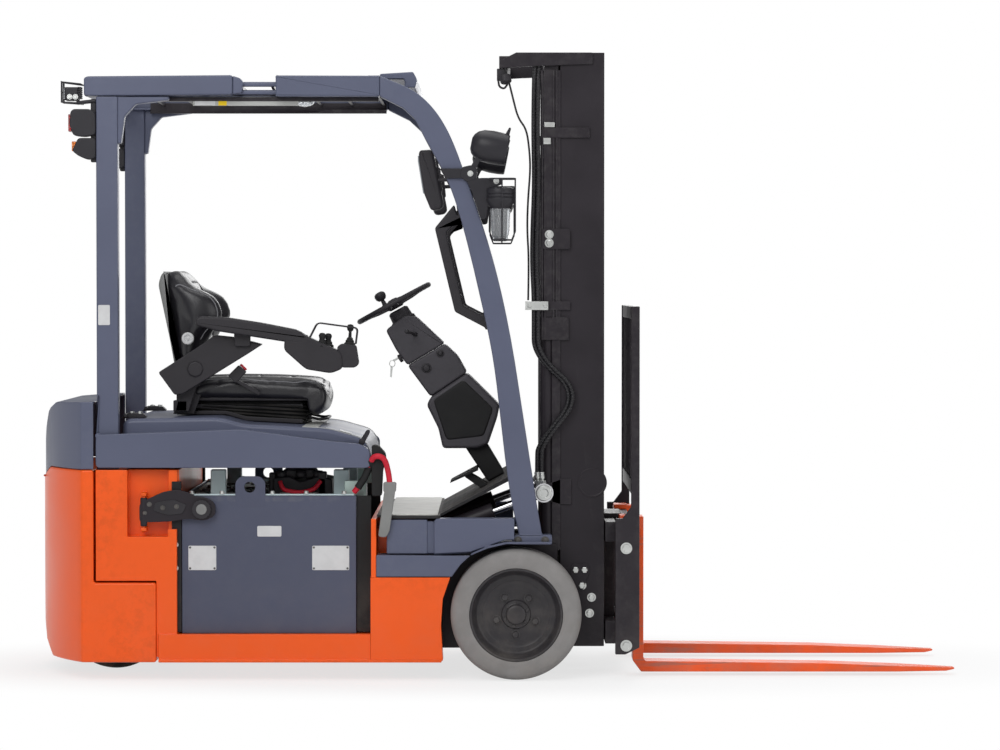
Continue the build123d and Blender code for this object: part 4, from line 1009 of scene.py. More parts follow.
def armrest():
    """The armrest with its lever console and control levers."""
    mesh = bmesh.new()
    top = rounded([(-1069, 1243), (-1066, 1257), (-1050, 1264), (-958, 1260), (-835, 1241), (-712, 1217),
                   (-670, 1191), (-701, 1169), (-754, 1174), (-927, 1201), (-991, 1211), (-1064, 1231)], 10,
                  3)
    slab(mesh, top, -359, -291)
    build("armrest_pad", mesh, "plastic_black", "seat_hood", 9, 4, replaces=("armrest",))
    mesh = bmesh.new()
    body = rounded([(-753, 1195), (-711, 1217), (-669, 1191), (-575, 1149), (-555, 1136), (-549, 1097),
                    (-555, 1077), (-591, 1063), (-679, 1077), (-757, 1146)], 14, 4)
    slab(mesh, body, -358, -286)
    build("lever_console", mesh, "plastic_black", "seat_hood", 7, 4)
    mesh = bmesh.new()
    plate(mesh, [(-571, 1155), (-555, 1168), (-503, 1162), (-493, 1097), (-506, 1083), (-553, 1083)], 8, 3,
          -352, -296)
    build("lever_box", mesh, "plastic_black", "seat_hood", 4, 3)
    mesh = bmesh.new()
    plate(mesh, [(-1204, 1065), (-1074, 1148), (-1002, 1197), (-934, 1190), (-835, 1165), (-888, 1131),
                 (-1116, 990), (-1146, 985)], 8, 3, -300, -254)
    turned(mesh, [(0, 0), (0, 30), (6, 29), (9, 25), (9, 0)], place(-1073, -298, 1077), (0, -1, 0), 8)
    plate(mesh, [(-935, 1205), (-877, 1200), (-877, 1157), (-933, 1157)], 6, 2, -316, -298)
    slab(mesh, [(-1150, 925), (-1100, 925), (-1060, 1060), (-1120, 1060)], -258, -247)
    brick(mesh, -1155, -1105, -258, -215.5, 925, 965)
    build("armrest_bracket", mesh, "plastic_black", "seat_hood", 3.5, 3)
    mesh = bmesh.new()
    for x, y, base in ((-624, -338, 1156), (-604, -312, 1154), (-527, -324, 1160)):
        tall = 48 if x < -560 else 74
        profile = [(0, 0), (0, 21), (8, 20), (12, 15), (18, 15), (22, 11), (26, 11), (30, 6), (tall - 24, 5)]
        profile += [(tall - 20, 10), (tall - 8, 13), (tall, 9), (tall + 2, 0)]
        turned(mesh, profile, place(x, y, base), (0.05, 0, 1), 24)
    build("control_levers", mesh, "rubber_black", "seat_hood", 0.8)
    bars("lever_guard", "seat_hood", [rounded3([(-667, y, 1188), (-640, y, 1241), (-498, y, 1222),
                                                (-505, y, 1166)], 14) for y in (-350, -298)], 2.6,
         "plastic_black")


cushion()
backrest()
seat_shell()
armrest()


# Steering


def column():
    """The steering column: covers, boot, switches, collar and key."""
    pieces = (
        ("column_head", [(-409, 1211), (-344, 1262), (-300, 1262), (-196, 1164), (-330, 1084),
                         (-371, 1139)], 54, 9),
        ("column_cover", [(-330, 1083), (-196, 1163), (-150, 1121), (-115, 1059), (-247, 971)], 62, 9),
        ("column_foot", [(-247, 970), (-115, 1058), (2, 942), (-6, 900), (-40, 800), (-80, 786), (-203, 786),
                         (-219, 858), (-261, 942)], 75, 12))
    for name, corners, half, edge in pieces:
        mesh = bmesh.new()
        slab(mesh, rounded(corners, 12, 3), -half, half)
        standing = ("steering_column",) if name == "column_head" else ()
        build(name, mesh, "column_grey", "chassis", edge, 4, replaces=standing)
    mesh = bmesh.new()
    slab(mesh, [(-150, 830), (-60, 830), (20, 696), (-40, 664)], -44, 44)
    plate(mesh, [(-238, 960), (-128, 1034), (-20, 930), (-55, 830), (-190, 815)], 14, 3, -80, 80)
    build("column_boot", mesh, "rubber_black", "chassis", 8, 3)
    mesh = bmesh.new()
    for y, x, z, r in ((-63, -262, 1075, 13), (-63, -212, 1128, 9), (63, -262, 1075, 13)):
        turned(mesh, [(0, 0), (0, r + 5), (2, r + 5), (3, r), (12, r - 2), (14, 0)], place(x, y, z),
               (0, math.copysign(1, y), 0), 28)
    turned(mesh, [(0, 0), (0, 15), (10, 15), (12, 12), (12, 0)], place(-352, -20, 1112), (-0.86, 0, -0.5), 28)
    for side in (-1, 1):
        start, way = place(-300, side * 44, 1196), (-0.25, side, 0.1)
        turned(mesh, [(0, 0), (0, 9), (30, 8), (34, 5), (92, 4), (96, 8), (126, 8), (130, 5), (130, 0)],
               start, way, 20)
    build("column_switches", mesh, "plastic_black", "chassis", 0.8)
    mesh = bmesh.new()
    turned(mesh, [(26, 0), (26, 30), (32, 38), (62, 40), (66, 46), (104, 50), (118, 50), (118, 0)],
           place(*WHEEL_HUB), (math.sin(WHEEL_TILT), 0, -math.cos(WHEEL_TILT)), 40)
    build("column_collar", mesh, "plastic_black", "chassis", 1.2)
    mesh = bmesh.new()
    slab(mesh, [(-384, 1104), (-362, 1116), (-358, 1109), (-380, 1097)], -22, -18)
    tube(mesh, [(-386 + 10 * math.cos(a), -20, 1090 + 12 * math.sin(a)) for a in ring_angles(16)], 1.4, 6,
         True)
    slab(mesh, [(-392, 1082), (-384, 1082), (-388, 1040), (-394, 1042)], -21, -19)
    build("key", mesh, "zinc", "chassis", 0.5)


def hand_wheel():
    """The steering wheel with its grip notches, three spokes, hub and knob."""
    centre = place(*WHEEL_HUB)
    rise, run = math.sin(WHEEL_TILT), math.cos(WHEEL_TILT)
    flat, out = Vector((run, 0, rise)), Vector((-rise, 0, run))
    left = Vector((0, 1, 0))

    def at(along, side, up):
        return centre + (flat * along + left * side + out * up) * MM

    mesh = bmesh.new()
    rows = []
    for a in ring_angles(120):
        grip = 1.1 * max(0.0, math.cos(a * 30)) if math.cos(a * 3) > -0.75 else 0
        row = []
        for b in ring_angles(14):
            radius = 9.4 - (grip if math.sin(b) < 0 else 0)
            reach = WHEEL_REACH + radius * math.cos(b)
            row.append(mesh.verts.new(at(reach * math.cos(a), reach * math.sin(a), radius * math.sin(b))))
        rows.append(row)
    for first, second in zip(rows, rows[1:] + rows[:1]):
        bridge(mesh, first, second)
    build("wheel_rim", mesh, "plastic_black", "hand_wheel", 0, angle=180, replaces=("steering_wheel",))
    mesh = bmesh.new()
    for angle in (0, math.pi, -math.pi / 2):
        rings = []
        for reach, half, thick, sink in ((28, 20, 6, -10), (70, 14, 5, -9), (110, 12, 4.5, -4),
                                         (136, 15, 5, 0)):
            c, s = math.cos(angle), math.sin(angle)
            ring = [(-half, -thick), (half, -thick), (half, thick), (-half, thick)]
            rings.append([at(reach * c - w * s, reach * s + w * c, sink + h) for w, h in rounded(ring, 4, 3)])
        lofted(mesh, rings)
    build("wheel_spokes", mesh, "plastic_black", "hand_wheel", 1.5)
    mesh = bmesh.new()
    turned(mesh, [(-21, 0), (-21, 24), (-14, 34), (2, 38), (8, 36), (12, 30), (12, 25), (10, 24), (12, 22),
                  (16, 14), (17, 0)], centre, out, 48)
    build("wheel_hub", mesh, "plastic_black", "hand_wheel", 1)
    mesh = bmesh.new()
    a = math.radians(105)
    foot = at(WHEEL_REACH * math.cos(a), WHEEL_REACH * math.sin(a), 0)
    turned(mesh, [(-12, 0), (-12, 14), (12, 14), (14, 9), (30, 7), (32, 14), (40, 20), (50, 22), (58, 19),
                  (63, 11), (64, 0)], foot, out, 32)
    build("spinner_knob", mesh, "plastic_black", "hand_wheel", 1)


column()
hand_wheel()


# Overhead guard


def guard_roof():
    """The overhead guard's side rails, front brow, slats and light."""
    for side, word in SIDES:
        mesh = bmesh.new()
        sleeve = rounded([(-1442, 2030), (-1442, 2092), (-1430, 2098), (-926, 2102), (-926, 2034)], 8, 3)
        slab(mesh, sleeve, side * 420, side * 478)
        slab(mesh, [(-926, 2036), (-926, 2100), (-900, 2092), (-888, 2078), (-894, 2040)],
             side * 424, side * 474)
        plate(mesh, [(-776, 2028), (-776, 2101), (-415, 2100), (-415, 2028)], 6, 3, side * 420, side * 478)
        for low, high in ((2063, 2080), (2036, 2052)):
            brick(mesh, -930, -770, side * 452, side * 436, low, high)
        brick(mesh, -1380, -430, side * 400, side * 420, 2026, 2034)
        build(f"roof_rail_{word}", mesh, "panel_grey", "chassis", 6, 4,
              replaces=left_only(side, "guard_roof"))
    mesh = bmesh.new()
    brow = rounded([(-416, 2090), (-416, 2110), (-300, 2117), (-286, 2090), (-292, 2062), (-330, 2062),
                    (-330, 2090)], 6, 3)
    slab(mesh, brow, -417, 417)
    brick(mesh, -460, -415, -425, 425, 2088, 2104)
    brick(mesh, -1440, -1380, -425, 425, 2030, 2092)
    build("roof_brow", mesh, "panel_grey", "chassis", 4, 3)
    mesh = bmesh.new()
    for number in range(8):
        x = -430 - 117 * number
        slab(mesh, [(x - 4, 2042), (x + 6, 2042), (x - 12, 2080), (x - 22, 2080)], -424, 424)
    for side in (-1, 1):
        slab(mesh, [(-1300, 2014), (-1300, 2028), (-420, 2028), (-420, 2014)], side * 426, side * 396)
        brick(mesh, -1300, -420, side * 402, side * 396, 2014, 2052)
    build("roof_slats", mesh, "mast_black", "chassis", 2, 2)
    for name, surface, size, edge in (
        ("roof_label", "label_white", (-1062, -990, -424.6, -423, 2000, 2026), 0.5),
        ("roof_tag", "label_yellow", (-979, -950, -424.6, -423, 1999, 2028), 0.5),
        ("roof_strip", "pale_grey_and_painted_highlight", (-1068, -700, -423, -421, 1998, 2029), 0.8),
    ):
        mesh = bmesh.new()
        brick(mesh, *size)
        build(name, mesh, surface, "chassis", edge, 1)
    mesh = bmesh.new()
    turned(mesh, [(0, 0), (0, 34), (6, 34), (14, 30), (20, 20), (23, 0)], place(-680, -380, 2020),
           (0, 0, -1), 32)
    build("roof_light", mesh, "clear_lens", "chassis", 1)


def front_lamps():
    """The work lamps and the caged signal lamps on the front pillars."""
    for side, word in SIDES:
        start, way = place(-97, side * 466, 1866), (1, 0, -0.2)
        mesh = bmesh.new()
        turned(mesh, [(0, 0), (0, 20), (6, 34), (18, 46), (38, 55), (70, 58), (104, 57), (126, 54),
                      (129, 50), (127, 46), (118, 45), (118, 0)], start, way, 48)
        plate(mesh, [(20, 1895), (36, 1922), (42, 1918), (34, 1888)], 3, 2, side * 462, side * 470)
        for y in (446, 486):
            plate(mesh, [(-110, 1764), (-78, 1822), (-40, 1812), (-44, 1800), (-66, 1806), (-90, 1758)], 6,
                  2, side * y, side * (y + 5))
        plate(mesh, [(-130, 1782), (-96, 1790), (-76, 1780), (-78, 1742), (-112, 1730), (-136, 1748)], 8, 3,
              side * 440, side * 492)
        plate(mesh, [(-206, 1778), (-130, 1778), (-112, 1744), (-186, 1742)], 5, 2, side * 414, side * 490)
        plate(mesh, [(-116, 1740), (-60, 1745), (10, 1745), (10, 1722), (-30, 1708), (-44, 1604),
                     (-62, 1600), (-96, 1700)], 5, 2, side * 484, side * 490)
        build(f"work_lamp_{word}", mesh, "lamp_plastic", "chassis", 2.5, 3,
              replaces=left_only(side, "front_lamps"))
        mesh = bmesh.new()
        turned(mesh, [(118.5, 0), (118.5, 44), (121, 44), (125, 30), (127, 0)], start, way, 40)
        build(f"work_lens_{word}", mesh, "clear_lens", "chassis", 0.6)
        mesh = bmesh.new()
        spot = place(4, side * 478, 1714)
        turned(mesh, [(0, 0), (0, 34), (6, 48), (16, 50), (22, 50), (24, 47), (28, 50), (34, 50), (36, 47),
                      (40, 50), (48, 50), (66, 42), (72, 36), (76, 36), (76, 0)], spot, (0, 0, -1), 40)
        turned(mesh, [(70, 0), (70, 17), (174, 15), (176, 0)], spot, (0, 0, -1), 24)
        build(f"signal_lamp_{word}", mesh, "lamp_plastic", "chassis", 1.2)
        mesh = bmesh.new()
        turned(mesh, [(75, 0), (75, 35), (150, 32), (172, 28), (176, 22), (176, 0)], spot, (0, 0, -1), 40)
        build(f"signal_lens_{word}", mesh, "clear_lens", "chassis", 0.8)
        cage = []
        for z, low in ((1742, 0), (1530, 12)):
            ring = [(-34 + low, 432), (56 - low, 432), (56 - low, 526), (-34 + low, 526)]
            ring = rounded(ring, 14, 4)
            cage.append([(x, side * y, z) for x, y in ring + ring[:1]])
        for x, y, pull in ((-34, 479, 12), (56, 456, 12), (56, 502, 12), (10, 432, 0), (10, 526, 0)):
            foot = x - math.copysign(pull, x)
            cage.append([(x, side * y, 1742), (x, side * y, 1560), (foot, side * y, 1530)])
        bars(f"lamp_cage_{word}", "chassis", cage, 2.6)
        bolts(f"lamp_bolts_{word}", "chassis", [(-10, side * 490, 1734), (-100, side * 492, 1760)],
              (0, side, 0), 13, 6)


def mirrors():
    """The mirrors on the front pillars."""
    for side, word in SIDES:
        mesh = bmesh.new()
        outline = rounded([(-276, 1844), (-231, 1847), (-220, 1787), (-195, 1665), (-194, 1650),
                           (-204, 1638), (-229, 1634), (-240, 1638), (-263, 1694), (-281, 1808),
                           (-281, 1833)], 12, 3)
        slab(mesh, outline, side * 352, side * 412)
        build(f"mirror_shell_{word}", mesh, "plastic_black", "chassis", 11, 4,
              replaces=left_only(side, "mirrors"))
        mesh = bmesh.new()
        slab(mesh, [(-284, 1826), (-278, 1828), (-261, 1694), (-266, 1693), (-284, 1806)],
             side * 360, side * 404)
        build(f"mirror_face_{word}", mesh, "mirror_glass", "chassis", 1.5)
        mesh = bmesh.new()
        round_bar(mesh, (-214, side * 400, 1740), (-140, side * 414, 1744), 7)
        plate(mesh, [(-224, 1790), (-206, 1784), (-198, 1700), (-216, 1700)], 6, 2, side * 370, side * 396)
        build(f"mirror_arm_{word}", mesh, "plastic_black", "chassis", 2)


def rear_lamps():
    """The caged lamps on the rear pillars."""
    for side, word in SIDES:
        mesh = bmesh.new()
        brick(mesh, -1508, -1462, side * 484, side * 416, 2014, 2060)
        for z in range(2022, 2058, 7):
            brick(mesh, -1464, -1452, side * 478, side * 422, z, z + 3)
        slab(mesh, [(-1470, 2000), (-1470, 2012), (-1400, 2020), (-1400, 2008)], side * 430, side * 470)
        body = rounded([(-1488, 1975), (-1478, 1984), (-1420, 1984), (-1401, 1972), (-1401, 1896),
                        (-1440, 1888), (-1478, 1892), (-1492, 1930)], 10, 3)
        slab(mesh, body, side * 484, side * 420)
        body = rounded([(-1462, 1884), (-1401, 1884), (-1401, 1814), (-1430, 1808), (-1462, 1822),
                        (-1484, 1840)], 10, 3)
        slab(mesh, body, side * 480, side * 424)
        brick(mesh, -1420, -1400.4, side * 464, side * 440, 1800, 2020)
        build(f"rear_lamp_{word}", mesh, "lamp_plastic", "chassis", 4, 3,
              replaces=left_only(side, "rear_lamps"))
        for name, x0, x1, z0, z1, surface in (("work", -1512, -1507, 2018, 2056, "clear_lens"),
                                              ("stop", -1496, -1486, 1906, 1966, "red_lens"),
                                              ("turn", -1484, -1470, 1838, 1872, "amber_lens")):
            mesh = bmesh.new()
            brick(mesh, x0, x1, side * 478, side * 426, z0, z1)
            build(f"rear_{name}_lens_{word}", mesh, surface, "chassis", 2.2, 3)
        cage = [[(-1450, side * y, 2070), (-1518, side * y, 2078), (-1518, side * y, 2008),
                 (-1450, side * y, 2004)] for y in (410, 434, 466, 490)]
        cage += [[(-1518, side * 410, z), (-1518, side * 490, z)] for z in (2078, 2043, 2008)]
        bars(f"rear_cage_{word}", "chassis", cage, 2.6)
        bolts(f"rear_lamp_bolts_{word}", "chassis", [(-1490, side * 484, 2026), (-1470, side * 484, 2026)],
              (0, side, 0), 12, 5)


guard_roof()
front_lamps()
mirrors()
rear_lamps()


# Battery, hood and gate


def eye_plate(mesh, corners, centre, radius, low, high):
    """Adds a plate between two depths with a round hole through it."""
    dense = []
    for (x0, z0), (x1, z1) in zip(corners, corners[1:] + corners[:1]):
        parts = max(1, int(math.hypot(x1 - x0, z1 - z0) // 9))
        dense += [(x0 + (x1 - x0) * i / parts, z0 + (z1 - z0) * i / parts) for i in range(parts)]
    loops = []
    for depth in (low, high):
        loops.append([mesh.verts.new(place(x, depth, z)) for x, z in dense])
        ring = []
        for x, z in dense:
            way = Vector((x - centre[0], z - centre[1])).normalized() * radius
            ring.append(mesh.verts.new(place(centre[0] + way.x, depth, centre[1] + way.y)))
        loops.append(ring)
    near, near_hole, far, far_hole = loops
    for first, second in ((near, near_hole), (near_hole, far_hole), (far_hole, far), (far, near)):
        bridge(mesh, first, second)
    bmesh.ops.recalc_face_normals(mesh, faces=mesh.faces)


def battery():
    """The battery: tray, cells, posts, edge, eyes, connectors and plates."""
    mesh = bmesh.new()
    half = BATTERY_HALF
    brick(mesh, BATTERY_BACK, BATTERY_FRONT, -half, half, 160, 622)
    for side in (-1, 1):
        brick(mesh, BATTERY_BACK, BATTERY_FRONT, side * (half - 6), side * half, 618, TRAY_TOP)
    for x in (BATTERY_BACK, BATTERY_FRONT - 6):
        brick(mesh, x, x + 6, -half, half, 618, TRAY_TOP)
    build("battery_tray", mesh, "battery_grey", "chassis", 2.5, 3, replaces=("battery_case",))
    mesh = bmesh.new()
    eye = rounded([(-918, 600), (-918, 690), (-900, 708), (-832, 708), (-814, 690), (-814, 600)], 12, 4)
    for side in (-1, 1):
        eye_plate(mesh, eye, (-868, 670), 19, side * (half - 9.5), side * (half + 0.5))
    build("battery_eyes", mesh, "battery_grey", "chassis", 1, 2)
    mesh = bmesh.new()
    for column_number in range(6):
        for row in range(4):
            x, y = -1094 + 98 * column_number, -464 + 234 * row
            brick(mesh, x, x + 94, y, y + 226, 620, CELL_TOP)
    # The cells' colour is lightened as painted light for their shaded tops
    build("battery_cells", mesh, "cell_grey_and_painted_light", "chassis", 3, 2)
    caps = [(-1047 + 98 * c, -351 + 234 * r, CELL_TOP) for c in range(6) for r in range(4)]
    bolts("cell_caps", "chassis", caps, (0, 0, 1), 34, 8, "plug_grey", 12)
    mesh = bmesh.new()
    for c in range(5):
        for r in range(4):
            x, y = -1020 + 98 * c, -400 + 234 * r
            brick(mesh, x, x + 44, y - 12, y + 12, CELL_TOP, 640)
    build("cell_links", mesh, "steel_plain", "chassis", 2, 2)
    mesh = bmesh.new()
    for x in (-985, -553):
        for y in (-380, 340):
            brick(mesh, x - 28, x + 26, y, y + 40, CELL_TOP, 726)
    build("battery_posts", mesh, "post_white", "chassis", 5, 3)
    mesh = bmesh.new()
    for side in (-1, 1):
        brick(mesh, -1096, -506, side * 474, side * 462, 636, 646)
    build("battery_edge", mesh, "post_white", "chassis", 1.5, 2)
    mesh = bmesh.new()
    for side in (-1, 1):
        brick(mesh, -540, -466, side * 440, side * 400, CELL_TOP, 690)
    # The block shares the cells' colour, lightened as painted light
    build("battery_block", mesh, "cell_grey_and_painted_light", "chassis", 4, 2)
    studs = [(x, side * 468, 646) for side in (-1, 1) for x in (-1070, -965, -790, -672, -540)]
    bolts("edge_studs", "chassis", studs, (0, 0, 1), 14, 9)
    mesh = bmesh.new()
    plate(mesh, [(-796, 634), (-796, 694), (-740, 700), (-700, 680), (-640, 700), (-588, 690), (-588, 634)],
          8, 3, -330, -120)
    for x in (-770, -700, -640):
        turned(mesh, [(0, 0), (0, 20), (20, 20), (24, 16), (26, 0)], place(x, -300, 694), (0, 0, 1), 24)
    plate(mesh, [(-770, 690), (-764, 722), (-650, 722), (-640, 690)], 8, 3, -300, -160)
    brick(mesh, -812, -790, -318, -280, CELL_TOP, 712)
    brick(mesh, -640, -608, -330, -290, CELL_TOP, 716)
    build("battery_connectors", mesh, "plastic_black", "chassis", 6, 3)
    mesh = bmesh.new()
    tube(mesh, rounded3([(-772, -338, 682), (-760, -350, 652), (-700, -354, 642), (-650, -350, 654),
                         (-628, -340, 684)], 30), 8, 12)
    build("battery_jumper", mesh, "red_lead", "chassis", 0, angle=180)
    mesh = bmesh.new()
    for x0, x1, z0, z1 in ((-1082, -985, 381, 466), (-651, -522, 381, 466), (-842, -758, 498, 535)):
        for y in (-half - 1.4, half - 0.4):
            plate(mesh, [(x0, z0), (x1, z0), (x1, z1), (x0, z1)], 4, 2, y, y + 1.8)
    build("battery_plates", mesh, "label_white", "chassis", 0.4, 1)
    rivets = [(x, side * 481.3, z) for side in (-1, 1) for z in (387, 460) for x in (-1076, -991, -645, -528)]
    bolts("plate_rivets", "chassis", rivets, outward(rivets), 5, 1.5, "steel_plain", 12)


CROWN = rounded([(-1318, 740), (-1318, 905), (-973, 911), (-899, 888), (-600, 872), (-470, 835),
                 (-445, 770), (-445, 740)], 34, 6, closed=False)


def hood_shell():
    """The crown over the seat mount as one skin with rounded edges, and the side wings with their shelves."""
    columns = [(412, 0, 1)] + [(396 + 16 * math.sin(a), 16 * (1 - math.cos(a)), 0)
                               for a in (math.pi / 2, math.pi / 3, math.pi / 6, 0)]
    columns += [(y, 0, 0) for y in (250, 0, -250)] + [(-y, drop, wall) for y, drop, wall in reversed(columns)]
    mesh = bmesh.new()
    rows = []
    for k, (x, z) in enumerate(CROWN):
        ahead, behind = Vector(CROWN[min(k + 1, len(CROWN) - 1)]), Vector(CROWN[max(k - 1, 0)])
        along = (ahead - behind).normalized()
        row = []
        for y, drop, wall in columns:
            px, pz = x + along.y * drop, z - along.x * drop
            if wall:
                px, pz = x + along.y * 16, 742
            row.append(mesh.verts.new(place(px, y, pz)))
        rows.append(row)
    for first, second in zip(rows, rows[1:]):
        bridge(mesh, first, second, closed=False)
    bmesh.ops.remove_doubles(mesh, verts=mesh.verts, dist=0.0002)
    bmesh.ops.recalc_face_normals(mesh, faces=mesh.faces)
    if sum(f.normal.z for f in mesh.faces) < 0:
        bmesh.ops.reverse_faces(mesh, faces=mesh.faces)
    crown = object_of("hood_crown", mesh)
    wall = crown.modifiers.new("Wall", "SOLIDIFY")
    wall.thickness, wall.offset = 6 * MM, -1
    plain_mesh(crown)
    soften(crown, 0, 0, 30)
    fit(crown, "panel_grey", "seat_hood", ("hood",))
    mesh = bmesh.new()
    wing = rounded([(-1402, 738), (-1402, 854), (-1232, 859), (-900, 872), (-582, 831), (-484, 822),
                    (-449, 800), (-449, 738)], 16, 4)
    for side in (-1, 1):
        slab(mesh, wing, side * 500, side * 489)
        for (x0, z0), (x1, z1) in (((-1300, 856), (-900, 870)), ((-900, 870), (-582, 829)),
                                   ((-582, 829), (-484, 820)), ((-484, 820), (-458, 803))):
            slab(mesh, [(x0, z0 - 8), (x0, z0), (x1, z1), (x1, z1 - 8)], side * 491, side * 408)
        turned(mesh, [(0, 0), (0, 9), (18, 9), (18, 0)], place(-1395, side * 481, 850), (0, side, 0), 24)
    build("hood_sides", mesh, "panel_grey", "seat_hood", 3.5, 3)


def hood_skin():
    """The pale cap over the crown's front end, a painted highlight for the light falling on that top: a strip
    that follows the crown's line a little way off it.
    """
    outer, inner = [(-690, 878.6)], [(-690, 875)]
    for k in range(1, len(CROWN) - 1):
        along = (Vector(CROWN[k + 1]) - Vector(CROWN[k - 1])).normalized()
        x, z = CROWN[k]
        if x > -690:
            outer.append((x - along.y * 1.8, z + along.x * 1.8))
            inner.append((x + along.y * 2, z - along.x * 2))
    mesh = bmesh.new()
    for a, b, c, d in zip(outer, outer[1:], inner[1:], inner):
        slab(mesh, [a, b, c, d], -398, 398)
    bmesh.ops.remove_doubles(mesh, verts=mesh.verts, dist=0.00001)
    inside = [f for f in mesh.faces
              if len([e for e in f.edges if len(e.link_faces) > 2]) > 1 and abs(f.normal.y) < 0.5]
    bmesh.ops.delete(mesh, geom=inside, context="FACES_ONLY")
    # Painted highlight: the pale strip stands in for light falling on the top of the crown's front
    build("hood_nose_painted_highlight", mesh, "pale_grey_and_painted_highlight", "seat_hood", 1.2, 2)
    mesh = bmesh.new()
    for x0, z0, x1, z1 in ((-560, 863.5, -520, 852), (-484, 842.5, -466, 829)):
        up = Vector((-(z1 - z0), x1 - x0)).normalized() * 1.6
        slab(mesh, [(x0, z0), (x1, z1), (x1 + up.x, z1 + up.y), (x0 + up.x, z0 + up.y)], -395, -330)
    build("hood_labels", mesh, "label_white", "seat_hood", 0.4, 1)
    mesh = bmesh.new()
    plate(mesh, [(-492, 822), (-462, 868), (-452, 870), (-450, 860), (-470, 822)], 5, 3, -452, -436)
    turned(mesh, [(0, 0), (0, 12), (6, 11), (8, 0)], place(-478, -452, 828), (0, -1, 0), 24)
    build("hood_latch", mesh, "plastic_black", "seat_hood", 2.5, 3)
    mesh = bmesh.new()
    for side in (-1, 1):
        plate(mesh, [(-1330, 906), (-1300, 926), (-1250, 922), (-1236, 908)], 5, 2, side * 330, side * 370)
        round_bar(mesh, (-1310, side * 300, 916), (-1310, side * 398, 916), 7)
    build("hood_hinge_caps", mesh, "plastic_black", "seat_hood", 2, 2)
    spots = [(x, side * y, 922) for side in (-1, 1) for x in (-1290, -1262) for y in (340, 360)]
    bolts("hood_bolts", "seat_hood", spots, (0, 0, 1), 13, 6)


def gate_fittings():
    """The battery gate's plate and knob, and the seals and bolts of its bay."""
    mesh = bmesh.new()
    outline = rounded([(-1250, 548), (-1250, 616), (-1209, 636), (-1168, 655), (-1120, 663), (-1083, 655),
                       (-1056, 640), (-1019, 636), (-986, 616), (-986, 572), (-1024, 554), (-1079, 562),
                       (-1140, 552)], 16, 4)
    slab(mesh, outline, -506, -490)
    round_bar(mesh, (-1235, -497, 536), (-1235, -497, 634), 12)
    build("gate_plate", mesh, "mast_black", "gate", 2.5, 3, replaces=("battery_gate",))
    mesh = bmesh.new()
    slab(mesh, [(-1033 + (34 - 2.5 * (k % 2)) * math.cos(a), 595 + (34 - 2.5 * (k % 2)) * math.sin(a))
                for k, a in enumerate(ring_angles(36))], -519, -505)
    plate(mesh, [(-1200, 590), (-1195, 618), (-1130, 628), (-1085, 610), (-1100, 580), (-1150, 574)], 8, 3,
          -510, -505)
    build("gate_knob", mesh, "plastic_black", "gate", 1.2)
    mesh = bmesh.new()
    turned(mesh, [(0, 0), (0, 19), (3, 18), (4, 12), (4, 0)], place(-1033, -518.5, 595), (0, -1, 0), 32)
    build("gate_knob_cap", mesh, "plug_grey", "gate", 0.6)
    bolts("gate_bolts", "gate", [(-1232, -506, 582), (-1215, -506, 612), (-1168, -510, 600),
                                 (-1120, -510, 604)], (0, -1, 0), 11, 5, "steel_plain")
    mesh = bmesh.new()
    for side in (-1, 1):
        brick(mesh, -1139, -1106, side * 487, side * 470, 165, 690)
        brick(mesh, -497, -446, side * 470, side * 462, 165, 640)
    build("bay_seals", mesh, "rubber_black", "chassis", 2, 2)
    spots = [(-1126, side * 487, z) for side in (-1, 1) for z in (388, 470)]
    bolts("bay_bolts", "chassis", spots, outward(spots), 13, 6)


battery()
hood_shell()
hood_skin()
gate_fittings()


# Hoses and leads


def line_of(name, points, diameter, surface, body, replaces=()):
    """A hose or lead as a smooth curve through its route's control points."""
    curve = bpy.data.curves.new(name, "CURVE")
    curve.dimensions = "3D"
    curve.bevel_depth = diameter / 2 * MM
    curve.bevel_resolution = 5
    curve.use_fill_caps = True
    spline = curve.splines.new("NURBS")
    spline.points.add(len(points) - 1)
    for spot, point in zip(spline.points, points):
        spot.co = (*place(*point), 1)
    spline.order_u = 3
    spline.use_endpoint_u = True
    spline.resolution_u = 10
    obj = bpy.data.objects.new(name, curve)
    SCENE.collection.objects.link(obj)
    return fit(obj, surface, body, replaces)


def fitting(name, spot, way, body, size=10.0):
    """A crimped hose end with its union nut."""
    mesh = bmesh.new()
    start = place(*spot)
    turned(mesh, [(0, 0), (0, size), (2, size + 1), (8, size), (10, size + 1), (16, size), (18, size + 1),
                  (24, size), (26, size - 3), (34, size - 3), (34, 0)], start, way, 24)
    turned(mesh, [(30, 0), (30, size + 2), (31, size + 3), (45, size + 3), (46, size + 2), (46, 0)], start,
           way, 6)
    turned(mesh, [(44, 0), (44, size - 3), (58, size - 3), (58, 0)], start, way, 20)
    return build(name, mesh, "zinc", body, 0.4, 1)


